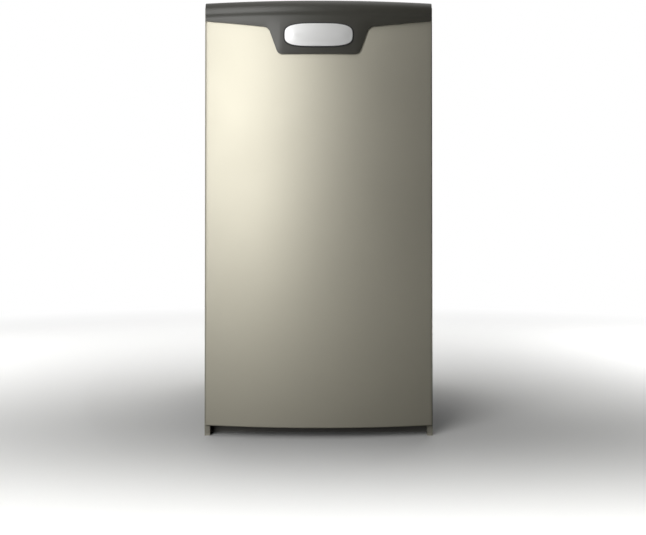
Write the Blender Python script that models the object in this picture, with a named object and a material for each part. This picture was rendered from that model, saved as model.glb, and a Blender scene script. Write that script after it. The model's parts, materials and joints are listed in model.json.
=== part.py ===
"""Upright condensing gas furnace: painted cabinet with a bowed front door, burner and vent side, blower side.

Metres, +Z up. The front faces -Y and the origin is on the floor under the middle of the whole furnace.
"""

import math

import bmesh
import bpy
from mathutils import Matrix, Vector

# Sheet metal and fits
SHEET = 0.001
SEAT = 0.0003
WELD = 0.001

# Cabinet
CABINET_WIDTH = 0.446
CABINET_DEPTH = 0.705
CABINET_HEIGHT = 0.838
FRONT_FLANGE = 0.0105
FRONT_LIP = 0.012
BACK_FLANGE = 0.015
DUCT_FLANGE = 0.019
TOP_TURNDOWN = 0.030
BASE_FLANGE = 0.020
KICK_SETBACK = 0.030
KICK_HEIGHT = 0.045
KICK_SHELF = 0.025
KICK_LIP = 0.008
DECK_TOP = 0.396
DECK_APRON = 0.040
VESTIBULE_DEPTH = 0.178
VESTIBULE_FLANGE = 0.012
INSULATION = 0.012

# Door and its header
DOOR_REVEAL = 0.002
DOOR_EDGE = 0.008
DOOR_BOW = 0.025
DOOR_BOTTOM = 0.021
DOOR_LIP = 0.014
DOOR_STANDOFF = 0.0005
DOOR_PAD = 0.006
DOOR_PAD_MARGIN = 0.026
HEADER_RISE = 0.008
HEADER_ROLL = 0.005
HEADER_RIDGE_PROUD = 0.007
HEADER_RIDGE_DROP = 0.020
HEADER_CREASE_DROP = 0.028
HEADER_APRON_PROUD = 0.003
WING_END_DROP = 0.036
WING_ROOT_DROP = 0.0515
TAB_TOP_HALF = 0.0975
TAB_BOTTOM_HALF = 0.0785
TAB_DROP = 0.1045
TAB_UPPER_FILLET = 0.016
TAB_LOWER_FILLET = 0.012
BADGE_WIDTH = 0.133
BADGE_HEIGHT = 0.046
BADGE_DROP = 0.068
BADGE_DOME = 0.0035
BADGE_SQUARENESS = 3.4

# Burners and gas train
BURNER_DROP = 0.067
BURNER_SPACING = 0.076
BURNER_COUNT = 3
BURNER_RADIUS = 0.019
PORT_RADIUS = 0.021
BURNER_BOX_WIDTH = 0.250
BURNER_BOX_DEPTH = 0.100
BURNER_BOX_BELOW = 0.070
BURNER_BOX_ABOVE = 0.045
BURNER_SETBACK = 0.012
BURNER_WALL = 0.0015
COVER_LAP = 0.005
SIGHT_X = 0.038
SIGHT_DROP = 0.032
SIGHT_RADIUS = 0.012
ROLLOUT_RISE = 0.029
ROLLOUT_RADIUS = 0.011
ROLLOUT_HEIGHT = 0.008
BUTTON_RADIUS = 0.003
BUTTON_PROUD = 0.003
MANIFOLD_RADIUS = 0.0105
MANIFOLD_STANDOFF = 0.020
SPUD_RADIUS = 0.006
GAS_PIPE_RADIUS = 0.0107
GAS_VALVE_SIZE = (0.064, 0.074, 0.080)
GAS_VALVE_INSET = 0.053
GAS_VALVE_DROP = 0.035
GAS_INLET_DROP = 0.165
GAS_INLET_HOLE = 0.022
LEVER_RADIUS = 0.015
LEVER_OFFSET = 0.012
LEVER_DROP = 0.036
LEVER_HEIGHT = 0.006
LEVER_BAR = 0.005

# Heat exchangers
CELL_TUBE = 0.019
CELL_PITCH = 0.070
COUPLING_BACK_GAP = 0.0284
CELL_FRONT_GAP = 0.009
COIL_SIDE_GAP = 0.0147
COIL_LIFT = 0.042
COIL_HEIGHT = 0.084
COIL_FINS = 76
COIL_FIN = 0.0006
COUPLING_DEPTH = 0.040
COUPLING_WIDTH = 0.300

# Vent side
HEADER_BOX_WIDTH = 0.280
HEADER_BOX_DEPTH = 0.050
HEADER_BOX_LIFT = 0.034
HEADER_BOX_HEIGHT = 0.100
HEADER_BOX_RIM = 0.006
HEADER_BOX_FLOOR = 0.010
INDUCER_X = -0.100
INDUCER_LIFT = 0.104
INDUCER_DEPTH = 0.046
INDUCER_SCROLL = 0.072
INDUCER_WHEEL = 0.060
INDUCER_MOTOR_RADIUS = 0.042
INDUCER_MOTOR_LENGTH = 0.040
INDUCER_SHAFT = 0.004
INDUCER_WALL = 0.0025
INDUCER_THROAT = 0.022
INDUCER_PLATE = 0.002
MOTOR_FLANGE = 0.006
MOTOR_FLANGE_SHEET = 0.003
VENT_INSET = 0.049
PIPE_RISE = 0.026
PIPE_RADIUS = 0.03015
PIPE_WALL = 0.004
PIPE_COLLAR = 0.004
PIPE_COLLAR_LENGTH = 0.014
INTAKE_X = 0.084
NECK_RISE = 0.087
NECK_SPIGOT = 0.012
TRAP_LIFT = 0.029
DRAIN_RISE = 0.025
DRAIN_SETBACK = 0.090
DRAIN_HOLE = 0.013
TRAP_SIZE = (0.064, 0.055, 0.095)
PRESSURE_SWITCH_X = 0.085
PRESSURE_SWITCH_DROP = 0.130
PRESSURE_SWITCH_RADIUS = 0.038
NIPPLE_RADIUS = 0.0025

# Blower
BLOWER_BACK_REACH = 0.3112
BLOWER_Z = 0.190
WHEEL_RADIUS = 0.127
WHEEL_WIDTH = 0.203
WHEEL_BLADES = 24
BLADE_DEPTH = 0.017
BLADE_THICKNESS = 0.0012
BLADE_LEAN = 28
BLADE_INSET = 0.0015
WHEEL_RIM = 0.003
DISC_SHEET = 0.0015
DISC_GAP = 0.006
HUB_RADIUS = 0.018
HUB_LENGTH = 0.020
HOUSING_WIDTH = 0.236
SCROLL_START = 0.140
SCROLL_GROWTH = 0.046
SCROLL_FLANGE = 0.006
INLET_RADIUS = 0.104
INLET_LIP = 0.006
HANGING_FLANGE = 0.012
MOTOR_RADIUS = 0.070
MOTOR_START = -0.006
MOTOR_END = 0.146
SHAFT_RADIUS = 0.00635

# Controls
TRAY_INSET = 0.018
TRAY_WIDTH = 0.255
TRAY_HEIGHT = 0.160
TRAY_DEPTH = 0.050
BOARD_SIZE = (0.150, 0.0016, 0.110)
BOARD_STANDOFF = 0.008
BOARD_INSET = 0.010
POST_INSET = 0.012
POST_RADIUS = 0.004
RELAY_SIZE = (0.019, 0.016, 0.020)
RELAY_COUNT = 3
RELAY_PITCH = 0.026
RELAY_INSET = 0.020
RELAY_LIFT = 0.070
TERMINAL_SIZE = (0.070, 0.010, 0.012)
CAN_INSET = 0.030
CAN_RADIUS = 0.009
CAN_LENGTH = 0.020
TRANSFORMER_SIZE = (0.064, 0.022, 0.052)
TRANSFORMER_GAP = 0.024
TRANSFORMER_LIFT = 0.030
WINDING_INSET = 0.014
WINDING_DROP = 0.010
WINDING_PROUD = 0.012
JUNCTION_SIZE = (0.062, 0.060, 0.095)
JUNCTION_WALL = 0.0015
JUNCTION_LAP = 0.010
JUNCTION_GAP = 0.004
SWITCH_HALF = 0.012
SWITCH_DEPTH = 0.030
SWITCH_FLOOR = 0.006
PLUNGER_FLOAT = 0.008
INTERLOCK_X = 0.110
INTERLOCK_RADIUS = 0.004
STRIKER_REACH = 0.012
STRIKER_HALF = 0.015
STRIKER_SHEET = 0.0015
KNOB_INSET = 0.043
KNOB_RADIUS = 0.010
KNOB_SHANK = 0.0035
KNOB_HEAD = 0.006
KNOB_GRIP = 0.005
KNOB_SHANK_REACH = 0.005
ACCESS_BOTTOM = 0.031
ACCESS_DROP = 0.018
ACCESS_HEM = 0.007
RUNNING_GAP = 0.0005
KNOCKOUT_MARGIN = 0.062
KNOCKOUT_LOW = 0.040
KNOCKOUT_DROP = 0.036
SCORE_WIDTH = 0.0016
KNOCK_SETBACK = 0.060
KNOCK_DROP = 0.066
KNOCK_RADIUS = 0.011
SCORE_DEPTH = 0.0004
DUCT_MARGIN = 0.0175
DUCT_INSET = 0.004
PIPE_HOLE_CLEARANCE = 0.0018

# Places worked out from the sizes above
BODY_PROUD = DOOR_EDGE + DOOR_BOW + HEADER_RIDGE_PROUD
FRONT = BODY_PROUD - (CABINET_DEPTH + BODY_PROUD) / 2
BACK = FRONT + CABINET_DEPTH
HALF = CABINET_WIDTH / 2
KNOCK_Y = FRONT + KNOCK_SETBACK
WALL_INSIDE = HALF - SHEET
PANEL_HALF = WALL_INSIDE - SEAT
INNER_HALF = PANEL_HALF - SHEET - SEAT
BETWEEN_LIPS = HALF - FRONT_FLANGE - SEAT
CAP_UNDERSIDE = CABINET_HEIGHT - SHEET
HEADER_TOP = CABINET_HEIGHT + HEADER_RISE
VENT_TOP = CABINET_HEIGHT + PIPE_RISE
BURNER_Z = CAP_UNDERSIDE - BURNER_DROP
SIGHT_Z = BURNER_Z - SIGHT_DROP
ROLLOUT_Z = BURNER_Z + ROLLOUT_RISE
GAS_VALVE_X = HALF - GAS_VALVE_INSET
GAS_VALVE_TOP = BURNER_Z - GAS_VALVE_DROP
GAS_INLET_Z = BURNER_Z - GAS_INLET_DROP
PRESSURE_SWITCH_Z = BURNER_Z - PRESSURE_SWITCH_DROP
COIL_WIDTH = 2 * (PANEL_HALF - INSULATION - COIL_SIDE_GAP)
COIL_BOTTOM = DECK_TOP + COIL_LIFT
HEADER_BOX_BOTTOM = DECK_TOP + HEADER_BOX_LIFT
INDUCER_Z = DECK_TOP + INDUCER_LIFT
NECK_TOP = INDUCER_Z + NECK_RISE
TRAP_BOTTOM = DECK_TOP + TRAP_LIFT
DRAIN_Z = TRAP_BOTTOM + DRAIN_RISE
VENT_X = VENT_INSET - HALF
TRAY_LOW_X = TRAY_INSET - HALF
KNOB_X = HALF - KNOB_INSET
ACCESS_TOP = DECK_TOP - ACCESS_DROP
KNOCKOUT_HIGH = DECK_TOP - KNOCKOUT_DROP
KNOCK_Z = DECK_TOP - KNOCK_DROP
DECK_UNDERSIDE = DECK_TOP - SHEET
KICK_FRONT = FRONT + KICK_SETBACK
INSIDE_BACK = BACK - SHEET - SEAT
BLOWER_Y = INSIDE_BACK - BLOWER_BACK_REACH
VESTIBULE_FRONT = FRONT + VESTIBULE_DEPTH
VESTIBULE_REAR = VESTIBULE_FRONT + SHEET
DOOR_HALF = HALF - DOOR_REVEAL
DOOR_REAR = FRONT - DOOR_STANDOFF
DOOR_TOP = HEADER_TOP - 0.012
DOOR_ARC = (DOOR_HALF ** 2 + DOOR_BOW ** 2) / (2 * DOOR_BOW)
BOX_FRONT = VESTIBULE_FRONT - SEAT - BURNER_BOX_DEPTH
BOX_TOP = BURNER_Z + BURNER_BOX_ABOVE
BOX_BOTTOM = BURNER_Z - BURNER_BOX_BELOW
HEADER_BOX_FRONT = VESTIBULE_FRONT - SEAT - HEADER_BOX_DEPTH
INDUCER_REAR = HEADER_BOX_FRONT - SEAT
INDUCER_FRONT = INDUCER_REAR - INDUCER_DEPTH
PIPE_Y = (INDUCER_REAR + INDUCER_FRONT) / 2
INTAKE_Y = BOX_FRONT + BURNER_BOX_DEPTH / 2
COUPLING_FRONT = INSIDE_BACK - COUPLING_BACK_GAP - COUPLING_DEPTH
MANIFOLD_Y = BOX_FRONT - SEAT - SHEET - MANIFOLD_STANDOFF
GAS_VALVE_FRONT = MANIFOLD_Y - GAS_VALVE_SIZE[1] / 2
SWITCH_HOSE_Y = VESTIBULE_FRONT - SEAT - 0.013
DRAIN_Y = FRONT + DRAIN_SETBACK
KNOB_Z = DECK_TOP - DECK_APRON + KNOB_RADIUS
INTERLOCK_Z = DECK_TOP - SHEET - 0.008
TRAY_BACK = KICK_FRONT + SHEET + SEAT + TRAY_DEPTH - SHEET
TRAY_FLOOR = DECK_UNDERSIDE - SEAT - TRAY_HEIGHT + SHEET
HOUSING_HALF = HOUSING_WIDTH / 2 - SHEET
MOUTH_FRONT = BLOWER_Y + 0.030
MOUTH_REAR = BLOWER_Y + SCROLL_START + SCROLL_GROWTH


# Shapes, each a new bmesh in world places
def block(low, high):
    """A box between two corners."""
    bm = bmesh.new()
    size = [b - a for a, b in zip(low, high)]
    middle = [(a + b) / 2 for a, b in zip(low, high)]
    bmesh.ops.create_cube(bm, size=1.0, matrix=Matrix.Translation(middle) @ Matrix.Diagonal((*size, 1.0)))
    return bm


def prism(outline, axis, start, end):
    """A flat outline pushed along X, Y or Z from start to end."""
    place = {
        "X": lambda u, v, t: (t, u, v),
        "Y": lambda u, v, t: (u, t, v),
        "Z": lambda u, v, t: (u, v, t),
    }[axis]
    bm = bmesh.new()
    face = bm.faces.new([bm.verts.new(place(u, v, start)) for u, v in outline])
    pushed = bmesh.ops.extrude_face_region(bm, geom=[face])
    moved = [item for item in pushed["geom"] if isinstance(item, bmesh.types.BMVert)]
    bmesh.ops.translate(bm, verts=moved, vec=Vector(place(0, 0, end)) - Vector(place(0, 0, start)))
    return bm


def turned(profile, axis, centre, sides=24):
    """A closed profile of (radius, distance along the axis) spun round a line through centre."""
    along = {"X": Vector((1, 0, 0)), "Y": Vector((0, 1, 0)), "Z": Vector((0, 0, 1))}[axis]
    across = {"X": Vector((0, 1, 0)), "Y": Vector((0, 0, 1)), "Z": Vector((1, 0, 0))}[axis]
    bm = bmesh.new()
    verts = [bm.verts.new(Vector(centre) + along * t + across * r) for r, t in profile]
    edges = [bm.edges.new((a, b)) for a, b in zip(verts, verts[1:] + verts[:1])]
    bmesh.ops.spin(bm, geom=verts + edges, cent=centre, axis=along, angle=2 * math.pi, steps=sides,
                   use_merge=True, use_duplicate=False)
    bmesh.ops.remove_doubles(bm, verts=bm.verts, dist=1e-6)
    bmesh.ops.dissolve_degenerate(bm, edges=bm.edges, dist=1e-7)
    return bm


def rod(start, end, radius, sides=24):
    """A round bar between two points."""
    start, end = Vector(start), Vector(end)
    turn = (end - start).to_track_quat("Z", "Y").to_matrix().to_4x4()
    bm = bmesh.new()
    bmesh.ops.create_cone(bm, cap_ends=True, segments=sides, radius1=radius, radius2=radius,
                          depth=(end - start).length, matrix=Matrix.Translation((start + end) / 2) @ turn)
    return bm


def ring(inner, outer, axis, centre, start, end, sides=32):
    """A collar of square section round an axis."""
    return turned([(inner, start), (outer, start), (outer, end), (inner, end)], axis, centre, sides)


def folded(path, axis, start, end, thickness=SHEET):
    """Bent sheet metal: a path thickened to its left and pushed along an axis."""
    points = [Vector(p) for p in path]
    lefts = []
    for a, b in zip(points, points[1:]):
        step = (b - a).normalized()
        lefts.append(Vector((-step.y, step.x)))
    inside = []
    for i, point in enumerate(points):
        before, after = lefts[max(i - 1, 0)], lefts[min(i, len(lefts) - 1)]
        mitre = before + after
        inside.append(point + mitre * (thickness / mitre.dot(after)))
    return prism([tuple(p) for p in points + inside[::-1]], axis, start, end)


def swept(route, radius, sides=12):
    """A round tube, shut at both ends, along a list of points."""
    points = [Vector(p) for p in route]
    bm = bmesh.new()
    heading = (points[1] - points[0]).normalized()
    side = heading.orthogonal().normalized()
    rings = []
    for i, point in enumerate(points):
        before = (point - points[max(i - 1, 0)]).normalized()
        after = (points[min(i + 1, len(points) - 1)] - point).normalized()
        tangent = (before + after).normalized()
        side = (side - tangent * side.dot(tangent)).normalized()
        up = tangent.cross(side)
        turns = [2 * math.pi * k / sides for k in range(sides)]
        rings.append([bm.verts.new(point + (side * math.cos(a) + up * math.sin(a)) * radius) for a in turns])
    for near, far in zip(rings, rings[1:]):
        for k in range(sides):
            bm.faces.new((near[k], near[(k + 1) % sides], far[(k + 1) % sides], far[k]))
    bm.faces.new(rings[0][::-1])
    bm.faces.new(rings[-1])
    return bm


def joined(shapes):
    """Several closed shapes that don't meet, as one cutter or one addition."""
    bm = bmesh.new()
    for shape in shapes:
        mesh = bpy.data.meshes.new("joined_shape")
        bmesh.ops.recalc_face_normals(shape, faces=shape.faces)
        shape.to_mesh(mesh)
        shape.free()
        bm.from_mesh(mesh)
        bpy.data.meshes.remove(mesh)
    return bm


def arc(centre, radius, start, end, steps):
    """Points of a flat arc, angles in degrees."""
    angles = [math.radians(start + (end - start) * i / steps) for i in range(steps + 1)]
    return [(centre[0] + radius * math.cos(a), centre[1] + radius * math.sin(a)) for a in angles]


def filleted(corner, before, after, radius, steps=4):
    """The points of an arc that rounds a corner between two straight runs."""
    corner = Vector(corner)
    to_before = (Vector(before) - corner).normalized()
    to_after = (Vector(after) - corner).normalized()
    half = to_before.angle(to_after) / 2
    centre = corner + (to_before + to_after).normalized() * (radius / math.sin(half))
    first = corner + to_before * (radius / math.tan(half)) - centre
    last = corner + to_after * (radius / math.tan(half)) - centre
    sweep = first.angle_signed(last)
    turned_by = [Matrix.Rotation(-sweep * i / steps, 2) for i in range(steps + 1)]
    return [tuple(centre + turn @ first) for turn in turned_by]


def smooth_route(points, steps=3):
    """A smooth curve through a hand-chosen route."""
    route = [Vector(p) for p in points]
    padded = [route[0] * 2 - route[1]] + route + [route[-1] * 2 - route[-2]]
    curve = []
    for a, b, c, d in zip(padded, padded[1:], padded[2:], padded[3:]):
        for i in range(steps):
            t = i / steps
            curve.append(0.5 * (2 * b + (c - a) * t + (2 * a - 5 * b + 4 * c - d) * t ** 2
                                + (3 * b - a - 3 * c + d) * t ** 3))
    return curve + [route[-1]]


# Objects
def material(name, colour, roughness, metallic=0.0):
    made = bpy.data.materials.new(name)
    made.use_nodes = True
    shader = made.node_tree.nodes["Principled BSDF"]
    shader.inputs["Base Color"].default_value = (*colour, 1.0)
    shader.inputs["Roughness"].default_value = roughness
    shader.inputs["Metallic"].default_value = metallic
    made.diffuse_color = (*colour, 1.0)
    return made


def solid(name, bm, origin=None, smooth=False):
    """An object whose origin is the middle of its shape, or the given point."""
    if origin is None:
        lows = [min(v.co[i] for v in bm.verts) for i in range(3)]
        highs = [max(v.co[i] for v in bm.verts) for i in range(3)]
        origin = [(a + b) / 2 for a, b in zip(lows, highs)]
    bmesh.ops.translate(bm, verts=bm.verts, vec=-Vector(origin))
    bmesh.ops.recalc_face_normals(bm, faces=bm.faces)
    mesh = bpy.data.meshes.new(name)
    bm.to_mesh(mesh)
    bm.free()
    if smooth:
        mesh.shade_smooth()
        mesh.set_sharp_from_angle(angle=math.radians(35))
    obj = bpy.data.objects.new(name, mesh)
    obj.location = origin
    bpy.context.scene.collection.objects.link(obj)
    return obj


def combine(obj, shape, operation):
    """One more shape welded on to an object, or cut out of it."""
    helper = solid(f"{obj.name}_{operation.lower()}", shape)
    helper.hide_render = True
    helper.display_type = "WIRE"
    step = obj.modifiers.new(operation.title(), "BOOLEAN")
    step.operation = operation
    step.object = helper


def piece(name, finish, shape, add=(), cut=(), origin=None, smooth=False):
    """A named sub-part in its own material."""
    obj = solid(name, shape, origin, smooth)
    obj.data.materials.append(finish)
    for extra in add:
        combine(obj, extra, "UNION")
    for hole in cut:
        combine(obj, hole, "DIFFERENCE")
    return obj


def mirrored(path, side):
    """The same fold on the other side, run backwards there so that it still thickens inwards."""
    return [(side * x, y) for x, y in path][::side]


def bow_y(x, offset=0.0):
    """Where the door's skin, or a line parallel to it, stands at x: a true arc across the width."""
    radius = DOOR_ARC + offset
    return FRONT - DOOR_EDGE + (DOOR_ARC - DOOR_BOW) - math.sqrt(radius ** 2 - x ** 2)


# Cabinet
def side_panel(side, finish):
    """One side of the wrap, folded at the front into the leg that shows beside the door."""
    lip_x = HALF - FRONT_FLANGE
    path = [(lip_x, FRONT + FRONT_LIP), (lip_x, FRONT), (HALF, FRONT), (HALF, BACK)]
    outside = side * (HALF + WELD)
    inside = side * (WALL_INSIDE - WELD)
    holes = [rod((inside, KNOCK_Y, KNOCK_Z), (outside, KNOCK_Y, KNOCK_Z), KNOCK_RADIUS, 20)]
    if side > 0:
        holes.append(rod((inside, MANIFOLD_Y, GAS_INLET_Z), (outside, MANIFOLD_Y, GAS_INLET_Z), GAS_INLET_HOLE))
        holes.append(rod((inside, DRAIN_Y, DRAIN_Z), (outside, DRAIN_Y, DRAIN_Z), DRAIN_HOLE, 20))
    name = "right_side_panel" if side > 0 else "left_side_panel"
    wrap = folded(mirrored(path, side), "Z", 0.0, CAP_UNDERSIDE - SEAT)
    return piece(name, finish, wrap, cut=[*holes, *return_knockout(side)])


def return_knockout(side):
    """The four cuts of the scored rectangle low on each side, where a return duct can be opened."""
    low_y, high_y = FRONT + KNOCKOUT_MARGIN, BACK - KNOCKOUT_MARGIN
    near, far = sorted((side * (HALF - SCORE_DEPTH), side * (HALF + WELD)))
    width = SCORE_WIDTH
    return [
        block((near, low_y, KNOCKOUT_LOW), (far, high_y, KNOCKOUT_LOW + width)),
        block((near, low_y, KNOCKOUT_HIGH - width), (far, high_y, KNOCKOUT_HIGH)),
        block((near, low_y, KNOCKOUT_LOW), (far, low_y + width, KNOCKOUT_HIGH)),
        block((near, high_y - width, KNOCKOUT_LOW), (far, high_y, KNOCKOUT_HIGH)),
    ]


def back_panel(finish):
    """The rear of the wrap, with short flanges that lie along both sides."""
    forward = BACK - BACK_FLANGE
    path = [(PANEL_HALF, forward), (PANEL_HALF, BACK), (-PANEL_HALF, BACK), (-PANEL_HALF, forward)]
    return piece("back_panel", finish, folded(path, "Z", SHEET + SEAT, CAP_UNDERSIDE - SEAT))


def duct_opening(grow, low, high):
    """The warm-air opening over the heat exchangers, grown on all sides."""
    half = INNER_HALF - DUCT_MARGIN + grow
    return block((-half, VESTIBULE_REAR + DUCT_INSET - grow, low), (half, BACK - DUCT_MARGIN + grow, high))


def top_cap(finish):
    """The top sheet, turned down behind the door and up round the warm-air opening."""
    plate = block((-HALF, FRONT, CAP_UNDERSIDE), (HALF, BACK, CABINET_HEIGHT))
    turndown = block((-BETWEEN_LIPS, FRONT, CABINET_HEIGHT - TOP_TURNDOWN),
                     (BETWEEN_LIPS, FRONT + SHEET, CABINET_HEIGHT))
    flange = duct_opening(SHEET, CAP_UNDERSIDE, CABINET_HEIGHT + DUCT_FLANGE)
    below, above = CAP_UNDERSIDE - WELD, CABINET_HEIGHT + WELD
    holes = [duct_opening(0.0, below, CABINET_HEIGHT + DUCT_FLANGE + WELD)]
    for x, y in ((VENT_X, PIPE_Y), (INTAKE_X, INTAKE_Y)):
        holes.append(rod((x, y, below), (x, y, above), PIPE_RADIUS + PIPE_HOLE_CLEARANCE, 32))
    return piece("top_cap", finish, plate, add=[turndown, flange], cut=holes)


def base_pan(finish):
    """The bottom closure: a tray with its edges turned up."""
    front = KICK_FRONT + SHEET + SEAT
    outer = block((-INNER_HALF, front, 0.0), (INNER_HALF, INSIDE_BACK, BASE_FLANGE))
    inner = block((-INNER_HALF + SHEET, front + SHEET, SHEET),
                  (INNER_HALF - SHEET, INSIDE_BACK - SHEET, BASE_FLANGE + WELD))
    return piece("base_pan", finish, outer, cut=[inner])


def kick_rail(finish):
    """The set-back rail across the foot of the front, which closes the base below the door."""
    shelf = KICK_FRONT + KICK_SHELF
    path = [(KICK_FRONT, SEAT), (KICK_FRONT, KICK_HEIGHT), (shelf, KICK_HEIGHT),
            (shelf, KICK_HEIGHT - KICK_LIP)]
    return piece("kick_rail", finish, folded(path[::-1], "X", -PANEL_HALF, PANEL_HALF))


def blower_deck(finish):
    """The shelf between the two compartments, with the blower's mouth and a front apron."""
    plate = block((-INNER_HALF, KICK_FRONT, DECK_UNDERSIDE), (INNER_HALF, INSIDE_BACK, DECK_TOP))
    apron = block((-INNER_HALF, KICK_FRONT, DECK_TOP - DECK_APRON), (INNER_HALF, KICK_FRONT + SHEET, DECK_TOP))
    before, behind = KICK_FRONT - WELD, KICK_FRONT + SHEET + WELD
    mouth = block((-HOUSING_HALF, MOUTH_FRONT, DECK_UNDERSIDE - WELD),
                  (HOUSING_HALF, MOUTH_REAR, DECK_TOP + WELD))
    places = [(INTERLOCK_X, INTERLOCK_Z, INTERLOCK_RADIUS)]
    places += [(x, KNOB_Z, KNOB_SHANK) for x in (-KNOB_X, KNOB_X)]
    bores = [rod((x, before, z), (x, behind, z), radius + RUNNING_GAP, 16) for x, z, radius in places]
    return piece("blower_deck", finish, plate, add=[apron], cut=[mouth, *bores])


def vestibule_panel(finish):
    """The upright wall that carries the burners, the heat exchangers and the inducer."""
    half, flange = INNER_HALF, VESTIBULE_FRONT + SHEET - VESTIBULE_FLANGE
    path = [(half, flange), (half, VESTIBULE_REAR), (-half, VESTIBULE_REAR), (-half, flange)]
    wall = folded(path, "Z", DECK_TOP + SEAT, CAP_UNDERSIDE - SEAT)
    ports = [rod((x, VESTIBULE_FRONT - WELD, BURNER_Z), (x, VESTIBULE_REAR + WELD, BURNER_Z), PORT_RADIUS)
             for x in burner_places()]
    return piece("vestibule_panel", finish, wall, cut=ports)


def blower_access_panel(finish):
    """The inner cover of the blower side, held by two quarter-turn knobs."""
    half, rear = BETWEEN_LIPS, KICK_FRONT - SEAT
    front, hem = rear - SHEET, rear - ACCESS_HEM
    plate = block((-half, front, ACCESS_BOTTOM), (half, rear, ACCESS_TOP))
    stiffener = block((-half, hem, ACCESS_BOTTOM), (half, rear, ACCESS_BOTTOM + SHEET))
    grip = block((-half, hem, ACCESS_TOP - SHEET), (half, rear, ACCESS_TOP))
    holes = [rod((x, front - WELD, KNOB_Z), (x, rear + WELD, KNOB_Z), KNOB_SHANK + RUNNING_GAP, 16)
             for x in (-KNOB_X, KNOB_X)]
    return piece("blower_access_panel", finish, plate, add=[stiffener, grip], cut=holes)


def thumb_knob(side, finish):
    """A quarter-turn fastener: a round head with a grip bar, and a shank through the panel and the apron."""
    x = side * KNOB_X
    head_rear = KICK_FRONT - SEAT - SHEET - SEAT
    head_front = head_rear - KNOB_HEAD
    head = turned([(0, head_front), (KNOB_RADIUS - 0.001, head_front), (KNOB_RADIUS, head_front + 0.001),
                   (KNOB_RADIUS, head_rear), (0, head_rear)], "Y", (x, 0, KNOB_Z), 20)
    shank = rod((x, head_rear - WELD, KNOB_Z), (x, KICK_FRONT + KNOB_SHANK_REACH, KNOB_Z), KNOB_SHANK, 12)
    bar = block((x - KNOB_RADIUS * 0.8, head_front - KNOB_GRIP, KNOB_Z - 0.002),
                (x + KNOB_RADIUS * 0.8, head_front + WELD, KNOB_Z + 0.002))
    name = "thumb_knob_right" if side > 0 else "thumb_knob_left"
    return piece(name, finish, head, add=[shank, bar], origin=(x, head_rear, KNOB_Z), smooth=True)


# Door
def bow_points(offset, half, steps=24):
    """The bow from left to right, with a point on the middle line."""
    return [(x, bow_y(x, offset)) for x in (half * (2 * i / steps - 1) for i in range(steps + 1))]


def door_panel(finish):
    """The bowed door: one skin folded back at its edges into a shallow pan with a rear lip."""
    outline = [(-DOOR_HALF, DOOR_REAR), *bow_points(0.0, DOOR_HALF), (DOOR_HALF, DOOR_REAR)]
    inner_half = DOOR_HALF - SHEET
    cavity_rear = DOOR_REAR - SHEET
    cavity = [(-inner_half, cavity_rear), *bow_points(-SHEET, inner_half), (inner_half, cavity_rear)]
    open_half = DOOR_HALF - DOOR_LIP
    opening = block((-open_half, cavity_rear - WELD, DOOR_BOTTOM + DOOR_LIP),
                    (open_half, DOOR_REAR + WELD, DOOR_TOP - DOOR_LIP))
    return piece("door_panel", finish, prism(outline, "Z", DOOR_BOTTOM, DOOR_TOP),
                 cut=[prism(cavity, "Z", DOOR_BOTTOM + SHEET, DOOR_TOP - SHEET), opening],
                 origin=(0, DOOR_REAR, DOOR_BOTTOM), smooth=True)


def door_insulation(finish):
    """The sound-deadening pad behind the door's skin, cut out round the striker."""
    half = DOOR_HALF - DOOR_PAD_MARGIN
    outer = bow_points(-SHEET - SEAT, half)
    inner = bow_points(-SHEET - SEAT - DOOR_PAD, half)
    window = block((INTERLOCK_X - STRIKER_HALF - 0.003, FRONT - BODY_PROUD, INTERLOCK_Z - STRIKER_HALF),
                   (INTERLOCK_X + STRIKER_HALF + 0.003, FRONT, INTERLOCK_Z + STRIKER_HALF))
    pad = prism(outer + inner[::-1], "Z", DOOR_BOTTOM + DOOR_PAD_MARGIN, DOOR_TOP - DOOR_PAD_MARGIN)
    return piece("door_insulation", finish, pad, cut=[window])


def door_striker(finish):
    """The tab inside the door that holds the interlock's plunger in."""
    foot_left, foot_right = INTERLOCK_X - STRIKER_HALF, INTERLOCK_X + STRIKER_HALF
    foot_rear = bow_y(foot_right) + SHEET + 2 * STRIKER_SHEET
    post = STRIKER_HALF * 0.4
    tip = FRONT + STRIKER_REACH
    outline = [(x, bow_y(x, -SHEET - SEAT)) for x in (foot_left, INTERLOCK_X, foot_right)]
    outline += [(foot_right, foot_rear), (INTERLOCK_X + post, foot_rear), (INTERLOCK_X + post, tip),
                (INTERLOCK_X - post, tip), (INTERLOCK_X - post, foot_rear), (foot_left, foot_rear)]
    low = INTERLOCK_Z - INTERLOCK_RADIUS - 0.002
    return piece("door_striker", finish, prism(outline, "Z", low, INTERLOCK_Z + INTERLOCK_RADIUS + 0.001))


def header_section(x):
    """The header's section at one place across the door: back, rolled top, ridge, crease and flat apron."""
    section = [(DOOR_REAR, DOOR_TOP + SEAT), (DOOR_REAR, HEADER_TOP)]
    steps = 7
    for i in range(steps + 1):
        turn = math.pi / 2 * i / steps
        proud = (HEADER_RIDGE_PROUD + HEADER_ROLL) * math.sin(turn) - HEADER_ROLL
        section.append((bow_y(x, proud), HEADER_TOP - HEADER_RIDGE_DROP * (1 - math.cos(turn))))
    steps = 3
    for i in range(1, steps + 1):
        turn = math.pi / 2 * i / steps
        proud = HEADER_APRON_PROUD + (HEADER_RIDGE_PROUD - HEADER_APRON_PROUD) * math.cos(turn)
        drop = HEADER_RIDGE_DROP + (HEADER_CREASE_DROP - HEADER_RIDGE_DROP) * math.sin(turn)
        section.append((bow_y(x, proud), HEADER_TOP - drop))
    low = HEADER_TOP - TAB_DROP - DOOR_LIP
    section += [(bow_y(x, HEADER_APRON_PROUD), low), (bow_y(x, SEAT), low), (bow_y(x, SEAT), DOOR_TOP + SEAT)]
    return section


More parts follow.
